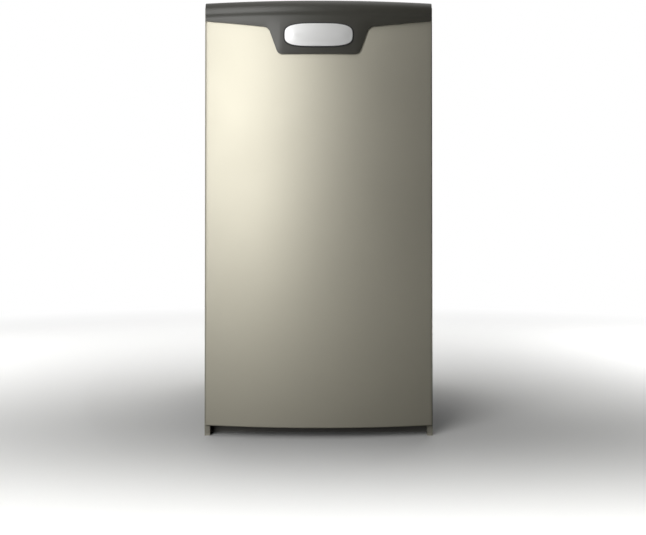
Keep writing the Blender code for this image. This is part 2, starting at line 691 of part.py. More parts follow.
def header_lower_edge():
    """The header's lower outline, left to right: a sloping wing, a filleted tab and the other wing."""
    wing_end = (DOOR_HALF, HEADER_TOP - WING_END_DROP)
    wing_root = (TAB_TOP_HALF, HEADER_TOP - WING_ROOT_DROP)
    tab_corner = (TAB_BOTTOM_HALF, HEADER_TOP - TAB_DROP)
    tab_middle = (0.0, HEADER_TOP - TAB_DROP)
    right = [wing_end, *filleted(wing_root, wing_end, tab_corner, TAB_UPPER_FILLET),
             *filleted(tab_corner, wing_root, tab_middle, TAB_LOWER_FILLET)]
    return [(-x, z) for x, z in right] + right[::-1]


def header_trim(finish):
    """The dark moulding that caps the door, with its drop-down tab for the badge."""
    stations = [x for x, _ in bow_points(0.0, DOOR_HALF)]
    bm = bmesh.new()
    rings = [[bm.verts.new((x, y, z)) for y, z in header_section(x)] for x in stations]
    for near, far in zip(rings, rings[1:]):
        for k in range(len(near)):
            bm.faces.new((near[k - 1], near[k], far[k], far[k - 1]))
    bm.faces.new(rings[0])
    bm.faces.new(rings[-1][::-1])
    low, high = FRONT - BODY_PROUD - WELD, FRONT
    wide, floor = DOOR_HALF + WELD, HEADER_TOP - TAB_DROP - 2 * DOOR_LIP
    end_z = HEADER_TOP - WING_END_DROP
    below = [(-wide, end_z), *header_lower_edge()[1:-1], (wide, end_z), (wide, floor), (-wide, floor)]
    return piece("header_trim", finish, bm, cut=[prism(below, "Y", low, high)], smooth=True)


def badge(finish):
    """A blank domed oval on the header's tab, bent to the bow."""
    centre_z = HEADER_TOP - BADGE_DROP
    points = 36
    seat = HEADER_APRON_PROUD + SEAT

    def rim(scale, height, bm):
        made = []
        for k in range(points):
            turn = 2 * math.pi * k / points
            cos, sin = math.cos(turn), math.sin(turn)
            reach = (abs(cos) ** BADGE_SQUARENESS + abs(sin) ** BADGE_SQUARENESS) ** (-1 / BADGE_SQUARENESS)
            x = BADGE_WIDTH / 2 * scale * cos * reach
            z = centre_z + BADGE_HEIGHT / 2 * scale * sin * reach
            made.append(bm.verts.new((x, bow_y(x, seat + height), z)))
        return made

    bm = bmesh.new()
    back = [(scale, 0.0) for scale in (0.25, 0.5, 0.75, 1.0)]
    front = [(1.0, 0.45), (0.95, 0.75), (0.75, 0.95), (0.4, 1.0)]
    loops = [rim(scale, share * BADGE_DOME, bm) for scale, share in back + front]
    for near, far in zip(loops, loops[1:]):
        for k in range(points):
            bm.faces.new((near[k - 1], near[k], far[k], far[k - 1]))
    for loop, share in ((loops[0], 0.0), (loops[-1], 1.0)):
        middle = bm.verts.new((0, bow_y(0, seat + share * BADGE_DOME), centre_z))
        for k in range(points):
            bm.faces.new((loop[k - 1], loop[k], middle))
    return piece("badge", finish, bm, smooth=True)


# Burners and gas train
def burner_places():
    return [(i - (BURNER_COUNT - 1) / 2) * BURNER_SPACING for i in range(BURNER_COUNT)]


def burner_box(finish):
    """The open-fronted box round the burners, with a port for each and the air inlet on top."""
    half, rear = BURNER_BOX_WIDTH / 2, BOX_FRONT + BURNER_BOX_DEPTH
    outer = block((-half, BOX_FRONT, BOX_BOTTOM), (half, rear, BOX_TOP))
    inner = block((-half + SHEET, BOX_FRONT - WELD, BOX_BOTTOM + SHEET),
                  (half - SHEET, rear - SHEET, BOX_TOP - SHEET))
    ports = [rod((x, rear - SHEET - WELD, BURNER_Z), (x, rear + WELD, BURNER_Z), PORT_RADIUS)
             for x in burner_places()]
    inlet = rod((INTAKE_X, INTAKE_Y, BOX_TOP - SHEET - WELD), (INTAKE_X, INTAKE_Y, BOX_TOP + WELD),
                PIPE_RADIUS - PIPE_WALL)
    return piece("burner_box", finish, outer, cut=[inner, *ports, inlet])


def burner_box_cover(finish):
    """The screwed front of the burner box, with holes for the gas spuds and the sight glass."""
    half, rear = BURNER_BOX_WIDTH / 2 + COVER_LAP, BOX_FRONT - SEAT
    front = rear - SHEET
    plate = block((-half, front, BOX_BOTTOM - COVER_LAP), (half, rear, BOX_TOP))
    places = [(x, BURNER_Z, SPUD_RADIUS + RUNNING_GAP) for x in burner_places()]
    places.append((SIGHT_X, SIGHT_Z, SIGHT_RADIUS + SEAT))
    holes = [rod((x, front - WELD, z), (x, rear + WELD, z), radius, 24) for x, z, radius in places]
    return piece("burner_box_cover", finish, plate, cut=holes)


def sight_glass(finish):
    """The round window through which the flame is watched."""
    rear, front = BOX_FRONT - SEAT, BOX_FRONT - 2 * SEAT - SHEET
    rim = SIGHT_RADIUS + 0.004
    profile = [(0, rear), (SIGHT_RADIUS, rear), (SIGHT_RADIUS, front), (rim, front), (rim, front - 0.0015),
               (SIGHT_RADIUS, front - 0.003), (SIGHT_RADIUS - 0.001, front - 0.0015), (0, front - 0.0015)]
    return piece("sight_glass", finish, turned(profile, "Y", (SIGHT_X, 0, SIGHT_Z), 24), smooth=True)


def burner_assembly(finish):
    """Inshot burners joined by a carry-over strip and a support bar."""
    mouth, head = BOX_FRONT + BURNER_SETBACK, BOX_FRONT + BURNER_BOX_DEPTH - SHEET - SEAT
    length = head - mouth
    outer = [(0.80, 0.0), (0.55, 0.22), (0.62, 0.5), (0.95, 0.8), (1.0, 1.0)]
    profile = [(BURNER_RADIUS * r, mouth + length * t) for r, t in outer]
    profile += [(r - BURNER_WALL, y) for r, y in profile[::-1]]
    bodies = [turned(profile, "Y", (x, 0, BURNER_Z), 14) for x in burner_places()]
    reach = burner_places()[-1]
    strip = block((-reach, head - 0.014, BURNER_Z + BURNER_RADIUS - 0.002),
                  (reach, head - 0.002, BURNER_Z + BURNER_RADIUS + 0.005))
    half = BURNER_BOX_WIDTH / 2 - SHEET - SEAT
    bar = block((-half, head - 0.016, BURNER_Z - BURNER_RADIUS - 0.010),
                (half, head - 0.013, BURNER_Z - BURNER_RADIUS + 0.003))
    return piece("burner_assembly", finish, bar, add=[joined(bodies), strip], smooth=True)


def side_probe(name, side, tip_radius, finish):
    """A probe through the burner box's side wall, with its insulator: the igniter or the flame sensor."""
    wall = BURNER_BOX_WIDTH / 2 - SHEET - SEAT
    tip = burner_places()[-1] + BURNER_RADIUS + 0.003
    y = BOX_FRONT + BURNER_BOX_DEPTH - 0.012
    profile = [(0, wall), (0.007, wall), (0.007, wall - 0.012),
               (tip_radius, wall - 0.014), (tip_radius, tip), (0, tip)]
    shape = turned([(r, side * t) for r, t in profile], "X", (0, y, BURNER_Z), 16)
    return piece(name, finish, shape, smooth=True)


def gas_manifold(finish):
    """The pipe across the burners, with a spud into each, that elbows down into the valve."""
    bend = 0.020
    left = burner_places()[0] - 0.024
    run = [(left, BURNER_Z)] + arc((GAS_VALVE_X - bend, BURNER_Z - bend), bend, 90, 0, 5)
    run.append((GAS_VALVE_X, GAS_VALVE_TOP + SEAT))
    pipe = swept([(x, MANIFOLD_Y, z) for x, z in run], MANIFOLD_RADIUS, 14)
    spuds = [rod((x, MANIFOLD_Y, BURNER_Z), (x, BOX_FRONT + BURNER_SETBACK + 0.004, BURNER_Z), SPUD_RADIUS, 12)
             for x in burner_places()]
    return piece("gas_manifold", finish, pipe, add=[joined(spuds)], smooth=True)


def gas_valve(finish):
    """The cast valve body, with its solenoid housing and regulator tower."""
    wide, deep, tall = GAS_VALVE_SIZE
    left, front = GAS_VALVE_X - wide / 2, GAS_VALVE_FRONT
    body = block((left, front, GAS_VALVE_TOP - tall), (left + wide, front + deep, GAS_VALVE_TOP - 0.014))
    neck = rod((GAS_VALVE_X, MANIFOLD_Y, GAS_VALVE_TOP - 0.016),
               (GAS_VALVE_X, MANIFOLD_Y, GAS_VALVE_TOP), 0.017, 8)
    solenoid = block((left + 0.006, front + 0.014, GAS_VALVE_TOP - 0.016),
                     (left + 0.020, front + deep - 0.008, GAS_VALVE_TOP - 0.004))
    tower = rod((GAS_VALVE_X - 0.016, front - 0.006, GAS_VALVE_TOP - 0.056),
                (GAS_VALVE_X - 0.016, front + WELD, GAS_VALVE_TOP - 0.056), 0.009, 16)
    return piece("gas_valve", finish, body, add=[neck, solenoid, tower])


def gas_valve_lever(finish):
    """The round shut-off knob on the valve, with its pointer bar."""
    x, z = GAS_VALVE_X + LEVER_OFFSET, GAS_VALVE_TOP - LEVER_DROP
    rear = GAS_VALVE_FRONT - SEAT
    front = rear - LEVER_HEIGHT
    profile = [(0, rear), (LEVER_RADIUS, rear), (LEVER_RADIUS, front + 0.002),
               (LEVER_RADIUS - 0.002, front), (0, front)]
    knob = turned(profile, "Y", (x, 0, z), 20)
    reach = LEVER_RADIUS * 0.85
    bar = block((x - LEVER_BAR / 2, front - LEVER_BAR, z - reach), (x + LEVER_BAR / 2, front + WELD, z + reach))
    return piece("gas_valve_lever", finish, knob, add=[bar], origin=(x, rear, z), smooth=True)


def gas_supply_pipe(finish):
    """The gas pipe from the valve's underside out through the right wall."""
    bend = 0.020
    run = [(GAS_VALVE_X, GAS_VALVE_TOP - GAS_VALVE_SIZE[2] - SEAT)]
    run += arc((GAS_VALVE_X + bend, GAS_INLET_Z + bend), bend, 180, 270, 5)
    run.append((HALF - RUNNING_GAP, GAS_INLET_Z))
    pipe = swept([(x, MANIFOLD_Y, z) for x, z in run], GAS_PIPE_RADIUS, 14)
    return piece("gas_supply_pipe", finish, pipe, smooth=True)


def rollout_switch(finish):
    """The round manual-reset heat switch on the burner cover."""
    rear, radius = BOX_FRONT - 2 * SEAT - SHEET, ROLLOUT_RADIUS
    front = rear - ROLLOUT_HEIGHT
    disc = turned([(0, rear), (radius, rear), (radius, front + 0.002), (radius - 0.003, front), (0, front)],
                  "Y", (0, 0, ROLLOUT_Z), 20)
    ears = block((-0.019, rear - 0.001, ROLLOUT_Z - 0.005), (0.019, rear, ROLLOUT_Z + 0.005))
    bore = rod((0, front - 0.002, ROLLOUT_Z), (0, rear - 0.002, ROLLOUT_Z), BUTTON_RADIUS + RUNNING_GAP, 16)
    return piece("rollout_switch", finish, disc, add=[ears], cut=[bore])


def rollout_reset(finish):
    """The push button in the middle of the switch."""
    mouth = BOX_FRONT - 2 * SEAT - SHEET - ROLLOUT_HEIGHT
    front, radius, tail = mouth - BUTTON_PROUD, BUTTON_RADIUS, mouth + 0.003
    profile = [(0, front), (radius - 0.0005, front), (radius, front + 0.0005), (radius, tail), (0, tail)]
    return piece("rollout_reset", finish, turned(profile, "Y", (0, 0, ROLLOUT_Z), 12),
                 origin=(0, mouth, ROLLOUT_Z), smooth=True)


def through_cap_pipe(name, x, y, low, finish):
    """A plastic pipe that ends just above the top, with a collar resting on the cap."""
    outer, bore, collar = PIPE_RADIUS, PIPE_RADIUS - PIPE_WALL, PIPE_RADIUS + PIPE_COLLAR
    seat = CABINET_HEIGHT + SEAT
    top = seat + PIPE_COLLAR_LENGTH
    profile = [(bore, low), (outer, low), (outer, seat), (collar, seat), (collar, top), (outer, top),
               (outer, VENT_TOP), (bore, VENT_TOP)]
    return piece(name, finish, turned(profile, "Z", (x, y, 0), 24), smooth=True)


# Heat exchangers
def primary_cell(number, x, finish):
    """One serpentine tube: back from its burner, forward, and back again into the coupling box."""
    bend = CELL_PITCH / 2
    top, middle = BURNER_Z, BURNER_Z - CELL_PITCH
    start = VESTIBULE_REAR + SEAT
    rear_turn = COUPLING_FRONT - bend - 0.003
    front_turn = start + bend + CELL_TUBE + CELL_FRONT_GAP
    run = [(start, top)] + arc((rear_turn, top - bend), bend, 90, -90, 8)
    run += arc((front_turn, middle - bend), bend, 90, 270, 8) + [(COUPLING_FRONT - SEAT, middle - CELL_PITCH)]
    tube = swept([(x, y, z) for y, z in run], CELL_TUBE, 12)
    flange = rod((x, start, top), (x, start + 0.003, top), CELL_TUBE + 0.009)
    return piece(f"primary_cell_{number}", finish, tube, add=[flange], smooth=True)


def condensing_coil(finish):
    """The second heat exchanger under the cells: one ribbon folded into upright fins across the cabinet."""
    front, high = VESTIBULE_REAR + SEAT, COIL_WIDTH / 2
    low = COIL_FIN - high
    pitch = (COUPLING_FRONT - SEAT - front) / (COIL_FINS - 1)
    ribbon = []
    for i in range(COIL_FINS):
        ends = (low, high) if i % 2 == 0 else (high, low)
        ribbon += [(x, front + pitch * i) for x in ends]
    return piece("condensing_coil", finish,
                 folded(ribbon, "Z", COIL_BOTTOM, COIL_BOTTOM + COIL_HEIGHT, COIL_FIN))


def coupling_box(finish):
    """The box at the back that turns the gases down from the cells into the coil."""
    half, top = COUPLING_WIDTH / 2, BURNER_Z - 2 * CELL_PITCH + CELL_TUBE + 0.011
    return piece("coupling_box", finish, block((-half, COUPLING_FRONT, COIL_BOTTOM),
                                               (half, COUPLING_FRONT + COUPLING_DEPTH, top)))


def insulation_board(side, finish):
    """The foil-faced board along one wall of the hot compartment."""
    near, far = sorted((side * (PANEL_HALF - INSULATION), side * PANEL_HALF))
    name = "insulation_right" if side > 0 else "insulation_left"
    return piece(name, finish, block((near, VESTIBULE_REAR + SEAT, DECK_TOP + SEAT),
                                     (far, BACK - BACK_FLANGE - SEAT, CAP_UNDERSIDE - SEAT)))


# Vent side
def header_box(finish):
    """The plastic box that gathers the cooled gases and the condensate in front of the coil."""
    half, top = HEADER_BOX_WIDTH / 2, HEADER_BOX_BOTTOM + HEADER_BOX_HEIGHT
    front, rear = HEADER_BOX_FRONT, HEADER_BOX_FRONT + HEADER_BOX_DEPTH
    body = block((-half + HEADER_BOX_RIM, front, HEADER_BOX_BOTTOM + HEADER_BOX_RIM), (half, rear, top))
    rim = block((-half, rear - HEADER_BOX_RIM, HEADER_BOX_BOTTOM), (half, rear, top))
    throat = rod((INDUCER_X, front - WELD, INDUCER_Z), (INDUCER_X, rear - HEADER_BOX_FLOOR, INDUCER_Z),
                 INDUCER_THROAT)
    return piece("header_box", finish, body, add=[rim], cut=[throat])


def inducer_scroll(inset):
    """The snail outline of the inducer with its neck, drawn in by inset."""
    growth = INDUCER_X - VENT_X + PIPE_RADIUS - INDUCER_SCROLL
    start, steps = 130, 26
    outline = [(VENT_X + PIPE_RADIUS - inset, NECK_TOP - NECK_SPIGOT)]
    for i in range(steps + 1):
        share = i / steps
        turn = math.radians(start - (start + 180) * share)
        radius = INDUCER_SCROLL + growth * share - inset
        outline.append((INDUCER_X + radius * math.cos(turn), INDUCER_Z + radius * math.sin(turn)))
    outline.append((VENT_X - PIPE_RADIUS + inset, NECK_TOP - NECK_SPIGOT))
    return outline


def inducer_housing(finish):
    """The draught inducer's hollow scroll, with its round neck for the vent."""
    x, z, wall = INDUCER_X, INDUCER_Z, INDUCER_WALL
    shell = prism(inducer_scroll(0.0), "Y", INDUCER_FRONT, INDUCER_REAR)
    cavity = prism(inducer_scroll(wall), "Y", INDUCER_FRONT + wall, INDUCER_REAR - wall)
    low = NECK_TOP - NECK_SPIGOT
    spigot = rod((VENT_X, PIPE_Y, low - wall), (VENT_X, PIPE_Y, NECK_TOP), PIPE_RADIUS)
    throat = rod((VENT_X, PIPE_Y, low - 3 * wall), (VENT_X, PIPE_Y, NECK_TOP + WELD), INDUCER_DEPTH / 2 - wall)
    inlet = rod((x, INDUCER_REAR - wall - WELD, z), (x, INDUCER_REAR + WELD, z), INDUCER_THROAT)
    shaft = rod((x, INDUCER_FRONT - WELD, z), (x, INDUCER_FRONT + wall + WELD, z),
                INDUCER_SHAFT + RUNNING_GAP, 16)
    return piece("inducer_housing", finish, shell, add=[spigot], cut=[cavity, throat, inlet, shaft],
                 smooth=True)


def inducer_motor(finish):
    """The inducer's motor can, bored for the shaft."""
    rear, front = INDUCER_FRONT - SEAT, INDUCER_FRONT - SEAT - INDUCER_MOTOR_LENGTH
    bore, can = INDUCER_SHAFT + RUNNING_GAP, INDUCER_MOTOR_RADIUS
    flange, step = can + MOTOR_FLANGE, rear - MOTOR_FLANGE_SHEET
    profile = [(bore, rear), (flange, rear), (flange, step), (can, step), (can, front + 0.010),
               (can * 0.7, front), (bore, front)]
    return piece("inducer_motor", finish, turned(profile, "Y", (INDUCER_X, 0, INDUCER_Z), 28), smooth=True)


def spokes(count, axis, centre, inner, outer, start, end, thickness, tilt=0.0):
    """Flat blades standing round an axis, each leaned by tilt about its own root."""
    blades = []
    for k in range(count):
        blade = block((inner, -thickness / 2, start), (outer, thickness / 2, end))
        root = Matrix.Translation((inner, 0, 0))
        lean = root @ Matrix.Rotation(tilt, 4, "Z") @ root.inverted()
        to_axis = {"X": Matrix.Rotation(math.pi / 2, 4, "Y"), "Y": Matrix.Rotation(-math.pi / 2, 4, "X")}[axis]
        place = Matrix.Translation(centre) @ to_axis @ Matrix.Rotation(2 * math.pi * k / count, 4, "Z") @ lean
        bmesh.ops.transform(blade, matrix=place, verts=blade.verts)
        blades.append(blade)
    return joined(blades)


def inducer_rotor(finish):
    """The inducer's impeller and its cooling fan on one shaft."""
    centre, reach = (INDUCER_X, 0, INDUCER_Z), INDUCER_MOTOR_RADIUS * 0.85
    back = INDUCER_REAR - INDUCER_WALL - 0.004
    fan_rear = INDUCER_FRONT - SEAT - INDUCER_MOTOR_LENGTH - INDUCER_PLATE
    nose = fan_rear - 0.010
    shaft = rod((INDUCER_X, nose, INDUCER_Z), (INDUCER_X, back, INDUCER_Z), INDUCER_SHAFT, 12)
    plate_front = INDUCER_FRONT + INDUCER_WALL + 0.003
    plate_rear = plate_front + INDUCER_PLATE
    plate = turned([(0, plate_front), (INDUCER_WHEEL, plate_front), (INDUCER_WHEEL, plate_rear),
                    (0, plate_rear)], "Y", centre, 24)
    blades = spokes(10, "Y", centre, 0.024, INDUCER_WHEEL, plate_front + WELD, back, 0.0015)
    hub_front = fan_rear - INDUCER_PLATE
    hub = turned([(0, hub_front), (reach, hub_front), (reach, fan_rear), (0, fan_rear)], "Y", centre, 20)
    fins = spokes(8, "Y", centre, 0.008, INDUCER_MOTOR_RADIUS * 0.8, nose + 0.002, fan_rear - WELD, 0.0015)
    return piece("inducer_rotor", finish, shaft, add=[plate, blades, hub, fins],
                 origin=(INDUCER_X, nose, INDUCER_Z))


def pressure_switch(finish):
    """The round air-proving switch on the vestibule wall, with its hose nipple."""
    x, z, rear, radius = PRESSURE_SWITCH_X, PRESSURE_SWITCH_Z, VESTIBULE_FRONT - SEAT, PRESSURE_SWITCH_RADIUS
    steps = [(0, 0), (0.6, 0), (0.6, 0.008), (1.0, 0.010), (1.0, 0.016), (0.7, 0.020), (0.7, 0.030), (0, 0.030)]
    disc = turned([(radius * share, rear - out) for share, out in steps], "Y", (x, 0, z), 28)
    nipple = rod((x, SWITCH_HOSE_Y, z - radius + 0.006), (x, SWITCH_HOSE_Y, z - radius - 0.010),
                 NIPPLE_RADIUS, 12)
    return piece("pressure_switch", finish, disc, add=[nipple], smooth=True)


def pressure_hose(finish):
    """The thin hose from the switch down to the header box."""
    top = PRESSURE_SWITCH_Z - PRESSURE_SWITCH_RADIUS - 0.010 - SEAT
    low = HEADER_BOX_BOTTOM + HEADER_BOX_HEIGHT + SEAT
    x, y, lead, shift = PRESSURE_SWITCH_X, SWITCH_HOSE_Y, 0.006, 0.030
    route = [(x, y, top), (x, y, top - lead), (x, y, top - 2 * lead), (x - shift / 3, y, (top + low) / 2),
             (x - shift, y, low + 2 * lead), (x - shift, y, low + lead), (x - shift, y, low)]
    return piece("pressure_hose", finish, swept(smooth_route(route), 0.0035, 8), smooth=True)


def condensate_trap(finish):
    """The plastic water trap beside the header box."""
    left = HEADER_BOX_WIDTH / 2 + SEAT
    wide, deep, tall = TRAP_SIZE
    rear = VESTIBULE_FRONT - SEAT
    body = block((left, rear - deep, TRAP_BOTTOM), (left + wide, rear, TRAP_BOTTOM + tall))
    cap = block((left + 0.008, rear - deep + 0.008, TRAP_BOTTOM + tall - WELD),
                (left + wide - 0.008, rear - 0.008, TRAP_BOTTOM + tall + 0.006))
    return piece("condensate_trap", finish, body, add=[cap])


def drain_hose(finish):
    """The hose from the trap out through the right wall."""
    x, y = HEADER_BOX_WIDTH / 2 + TRAP_SIZE[0] / 2, VESTIBULE_FRONT - TRAP_SIZE[1] - 2 * SEAT
    wall, lead = HALF - RUNNING_GAP, 0.006
    flat = [(x, y), (x, y - lead), (x, y - 2 * lead), (x + lead, DRAIN_Y + lead), (x + 3 * lead, DRAIN_Y),
            (wall - 2 * lead, DRAIN_Y), (wall - lead, DRAIN_Y), (wall, DRAIN_Y)]
    route = [(a, b, DRAIN_Z) for a, b in flat]
    return piece("drain_hose", finish, swept(smooth_route(route), 0.006, 8), smooth=True)


# Blower
def scroll_path(offset=0.0):
    """The blower's snail, from the front of its mouth round to the rear, in Y and Z."""
    top = DECK_UNDERSIDE - SEAT
    tongue = -math.degrees(math.asin((MOUTH_FRONT - BLOWER_Y) / SCROLL_START))
    steps = 28
    path = [(MOUTH_FRONT - offset, top)]
    for i in range(steps + 1):
        share = i / steps
        turn = math.radians(tongue + (270 - tongue) * share)
        radius = SCROLL_START + SCROLL_GROWTH * share + offset
        path.append((BLOWER_Y - radius * math.sin(turn), BLOWER_Z + radius * math.cos(turn)))
    return path + [(MOUTH_REAR + offset, top)]


def blower_wrap(finish):
    """The sheet that is rolled round the wheel and opens up through the deck."""
    return piece("blower_wrap", finish, folded(scroll_path(), "X", -HOUSING_HALF + SEAT, HOUSING_HALF - SEAT),
                 smooth=True)


def blower_side(side, finish):
    """One side of the blower housing, with its rolled air inlet and a hanging flange."""
    near, far = sorted((side * HOUSING_HALF, side * (HOUSING_HALF + SHEET)))
    plate = prism(scroll_path(SCROLL_FLANGE), "X", near, far)
    lip_start, lip_end = side * (HOUSING_HALF + SHEET / 2), side * (HOUSING_HALF + SHEET + INLET_LIP)
    lip = ring(INLET_RADIUS, INLET_RADIUS + 0.004, "X", (0, BLOWER_Y, BLOWER_Z), lip_start, lip_end)
    top = DECK_UNDERSIDE - SEAT
    a, b = sorted((side * HOUSING_HALF, side * (HOUSING_HALF + HANGING_FLANGE)))
    hanger = block((a, MOUTH_FRONT, top - SHEET), (b, MOUTH_REAR, top))
    inlet = rod((near - WELD, BLOWER_Y, BLOWER_Z), (far + WELD, BLOWER_Y, BLOWER_Z), INLET_RADIUS, 32)
    name = "blower_side_right" if side > 0 else "blower_side_left"
    return piece(name, finish, plate, add=[lip, hanger], cut=[inlet])


def blower_wheel(finish):
    """The forward-curved wheel's cage: blades between two rims."""
    centre, half, inner = (0, BLOWER_Y, BLOWER_Z), WHEEL_WIDTH / 2, WHEEL_RADIUS - BLADE_DEPTH
    blades = spokes(WHEEL_BLADES, "X", centre, inner, WHEEL_RADIUS - BLADE_INSET, -half + WELD, half - WELD,
                    BLADE_THICKNESS, math.radians(BLADE_LEAN))
    near_rim = ring(inner, WHEEL_RADIUS, "X", centre, -half, -half + WHEEL_RIM)
    far_rim = ring(inner, WHEEL_RADIUS, "X", centre, half - WHEEL_RIM, half)
    return piece("blower_wheel", finish, near_rim, add=[blades, far_rim], origin=centre)


def wheel_disc(finish):
    """The disc across the middle of the cage, with the hub that clamps the shaft."""
    centre, bore, far = (0, BLOWER_Y, BLOWER_Z), SHAFT_RADIUS + SEAT, MOTOR_START - DISC_GAP
    reach, near = WHEEL_RADIUS - BLADE_DEPTH - RUNNING_GAP, far - DISC_SHEET
    profile = [(bore, far - HUB_LENGTH), (HUB_RADIUS, far - HUB_LENGTH), (HUB_RADIUS, near), (reach, near),
               (reach, far), (bore, far)]
    return piece("wheel_disc", finish, turned(profile, "X", centre, 32), origin=centre)


def blower_motor(finish):
    """The direct-drive motor that stands inside the wheel, bored for its shaft."""
    bore, can = SHAFT_RADIUS + SEAT, MOTOR_RADIUS
    profile = [(bore, MOTOR_START), (can * 0.55, MOTOR_START), (can, MOTOR_START + 0.018),
               (can, MOTOR_END - 0.020), (can * 0.8, MOTOR_END), (bore, MOTOR_END)]
    return piece("blower_motor", finish, turned(profile, "X", (0, BLOWER_Y, BLOWER_Z), 32), smooth=True)


def motor_shaft(finish):
    """The steel shaft through the motor and the wheel's hub."""
    start, end = MOTOR_START - 0.034, MOTOR_END + 0.008
    shaft = rod((start, BLOWER_Y, BLOWER_Z), (end, BLOWER_Y, BLOWER_Z), SHAFT_RADIUS, 16)
    return piece("motor_shaft", finish, shaft, smooth=True)


def motor_mount(finish):
    """The belly band round the motor, with three arms that bolt to the housing's side."""
    centre = (0, BLOWER_Y, BLOWER_Z)
    inner, outer = MOTOR_RADIUS + SEAT, MOTOR_RADIUS + 0.003
    band_start = HOUSING_HALF + SHEET + SEAT - 0.008
    arm_start = HOUSING_HALF + SHEET + INLET_LIP + RUNNING_GAP
    foot_start = HOUSING_HALF + SHEET + SEAT
    arm_end = arm_start + 0.003
    band = ring(inner, outer, "X", centre, band_start, arm_end)
    reach = INLET_RADIUS + 0.026
    arms = spokes(3, "X", centre, outer - 0.001, reach, arm_start, arm_end, 0.016)
    feet = spokes(3, "X", centre, reach - 0.012, reach + 0.001, foot_start, arm_end, 0.020)
    return piece("motor_mount", finish, band, add=[arms, feet], smooth=True)


# Controls
def control_box(finish):
    """The open-fronted tray under the deck that holds the control board and the transformer."""
    left, front = TRAY_LOW_X, KICK_FRONT + SHEET + SEAT
    top = DECK_UNDERSIDE - SEAT
    outer = block((left, front, top - TRAY_HEIGHT), (left + TRAY_WIDTH, front + TRAY_DEPTH, top))
    inner = block((left + SHEET, front - WELD, top - TRAY_HEIGHT + SHEET),
                  (left + TRAY_WIDTH - SHEET, front + TRAY_DEPTH - SHEET, top - SHEET))
    return piece("control_box", finish, outer, cut=[inner])


def control_board(finish):
    """The board on its standoffs, with relays, capacitor and terminal blocks."""
    wide, thick, tall = BOARD_SIZE
    back = TRAY_BACK - SEAT
    left, low = TRAY_LOW_X + BOARD_INSET, TRAY_FLOOR + BOARD_INSET
    rear = back - BOARD_STANDOFF
    front, root = rear - thick, rear - thick / 2
    plate = block((left, front, low), (left + wide, rear, low + tall))
    posts = [rod((x, root, z), (x, back, z), POST_RADIUS, 8)
             for x in (left + POST_INSET, left + wide - POST_INSET)
             for z in (low + POST_INSET, low + tall - POST_INSET)]
    first, shelf = left + RELAY_INSET, low + RELAY_LIFT
    parts = []
    for start in (first + RELAY_PITCH * i for i in range(RELAY_COUNT)):
        parts.append(block((start, front - RELAY_SIZE[1], shelf),
                           (start + RELAY_SIZE[0], root, shelf + RELAY_SIZE[2])))
    strip = low + BOARD_INSET
    parts.append(block((first, front - TERMINAL_SIZE[1], strip),
                       (first + TERMINAL_SIZE[0], root, strip + TERMINAL_SIZE[2])))
    can_x = left + wide - CAN_INSET
    parts.append(rod((can_x, root, shelf), (can_x, front - CAN_LENGTH, shelf), CAN_RADIUS, 16))
    return piece("control_board", finish, plate, add=[joined(posts), joined(parts)])


def transformer(finish):
    """The low-voltage transformer: a laminated core with its winding through the window."""
    wide, deep, tall = TRANSFORMER_SIZE
    back, left = TRAY_BACK - SEAT, TRAY_LOW_X + BOARD_SIZE[0] + TRANSFORMER_GAP
    low, front = TRAY_FLOOR + TRANSFORMER_LIFT, TRAY_BACK - SEAT - deep
    core = block((left, front, low), (left + wide, back, low + tall))
    winding = block((left + WINDING_INSET, front - WINDING_PROUD, low + WINDING_DROP),
                    (left + wide - WINDING_INSET, front + WELD, low + tall - WINDING_DROP))
    return piece("transformer", finish, core, add=[winding])


def junction_box(finish):
    """The mains wiring box on the inside of the right wall."""
    wide, deep, tall = JUNCTION_SIZE
    wall, top, low_x = JUNCTION_WALL, DECK_UNDERSIDE - SEAT, PANEL_HALF - wide
    front, low = KICK_FRONT + SHEET + KNOB_SHANK_REACH + JUNCTION_GAP, top - tall
    rear = front + deep
    body = block((low_x, front, low), (PANEL_HALF, rear, top))
    lid = block((low_x - wall, front - wall, low - wall), (low_x + JUNCTION_LAP, rear + wall, top))
    cavity = block((low_x + wall, front + wall, low + wall), (PANEL_HALF - wall, rear - wall, top - wall))
    entry = rod((PANEL_HALF - 2 * wall, KNOCK_Y, KNOCK_Z), (PANEL_HALF + WELD, KNOCK_Y, KNOCK_Z),
                KNOCK_RADIUS, 20)
    return piece("junction_box", finish, body, add=[lid], cut=[cavity, entry])


def interlock_switch(finish):
    """The door switch behind the deck's apron, bored for its plunger."""
    x, z, half, front = INTERLOCK_X, INTERLOCK_Z, SWITCH_HALF, KICK_FRONT + SHEET + SEAT
    rear = front + SWITCH_DEPTH
    body = block((x - half, front, z - half), (x + half, rear, DECK_UNDERSIDE - SEAT))
    bore = rod((x, front - WELD, z), (x, rear - SWITCH_FLOOR, z), INTERLOCK_RADIUS + RUNNING_GAP, 16)
    return piece("interlock_switch", finish, body, cut=[bore])


def interlock_plunger(finish):
    """The sprung plunger that the closed door holds in."""
    tip, tail = FRONT + STRIKER_REACH + SEAT, KICK_FRONT + SHEET + SWITCH_DEPTH - PLUNGER_FLOAT
    r = INTERLOCK_RADIUS
    profile = [(0, tip), (r - 0.001, tip), (r, tip + 0.001), (r, tail), (0, tail)]
    return piece("interlock_plunger", finish, turned(profile, "Y", (INTERLOCK_X, 0, INTERLOCK_Z), 16),
                 origin=(INTERLOCK_X, tip, INTERLOCK_Z), smooth=True)


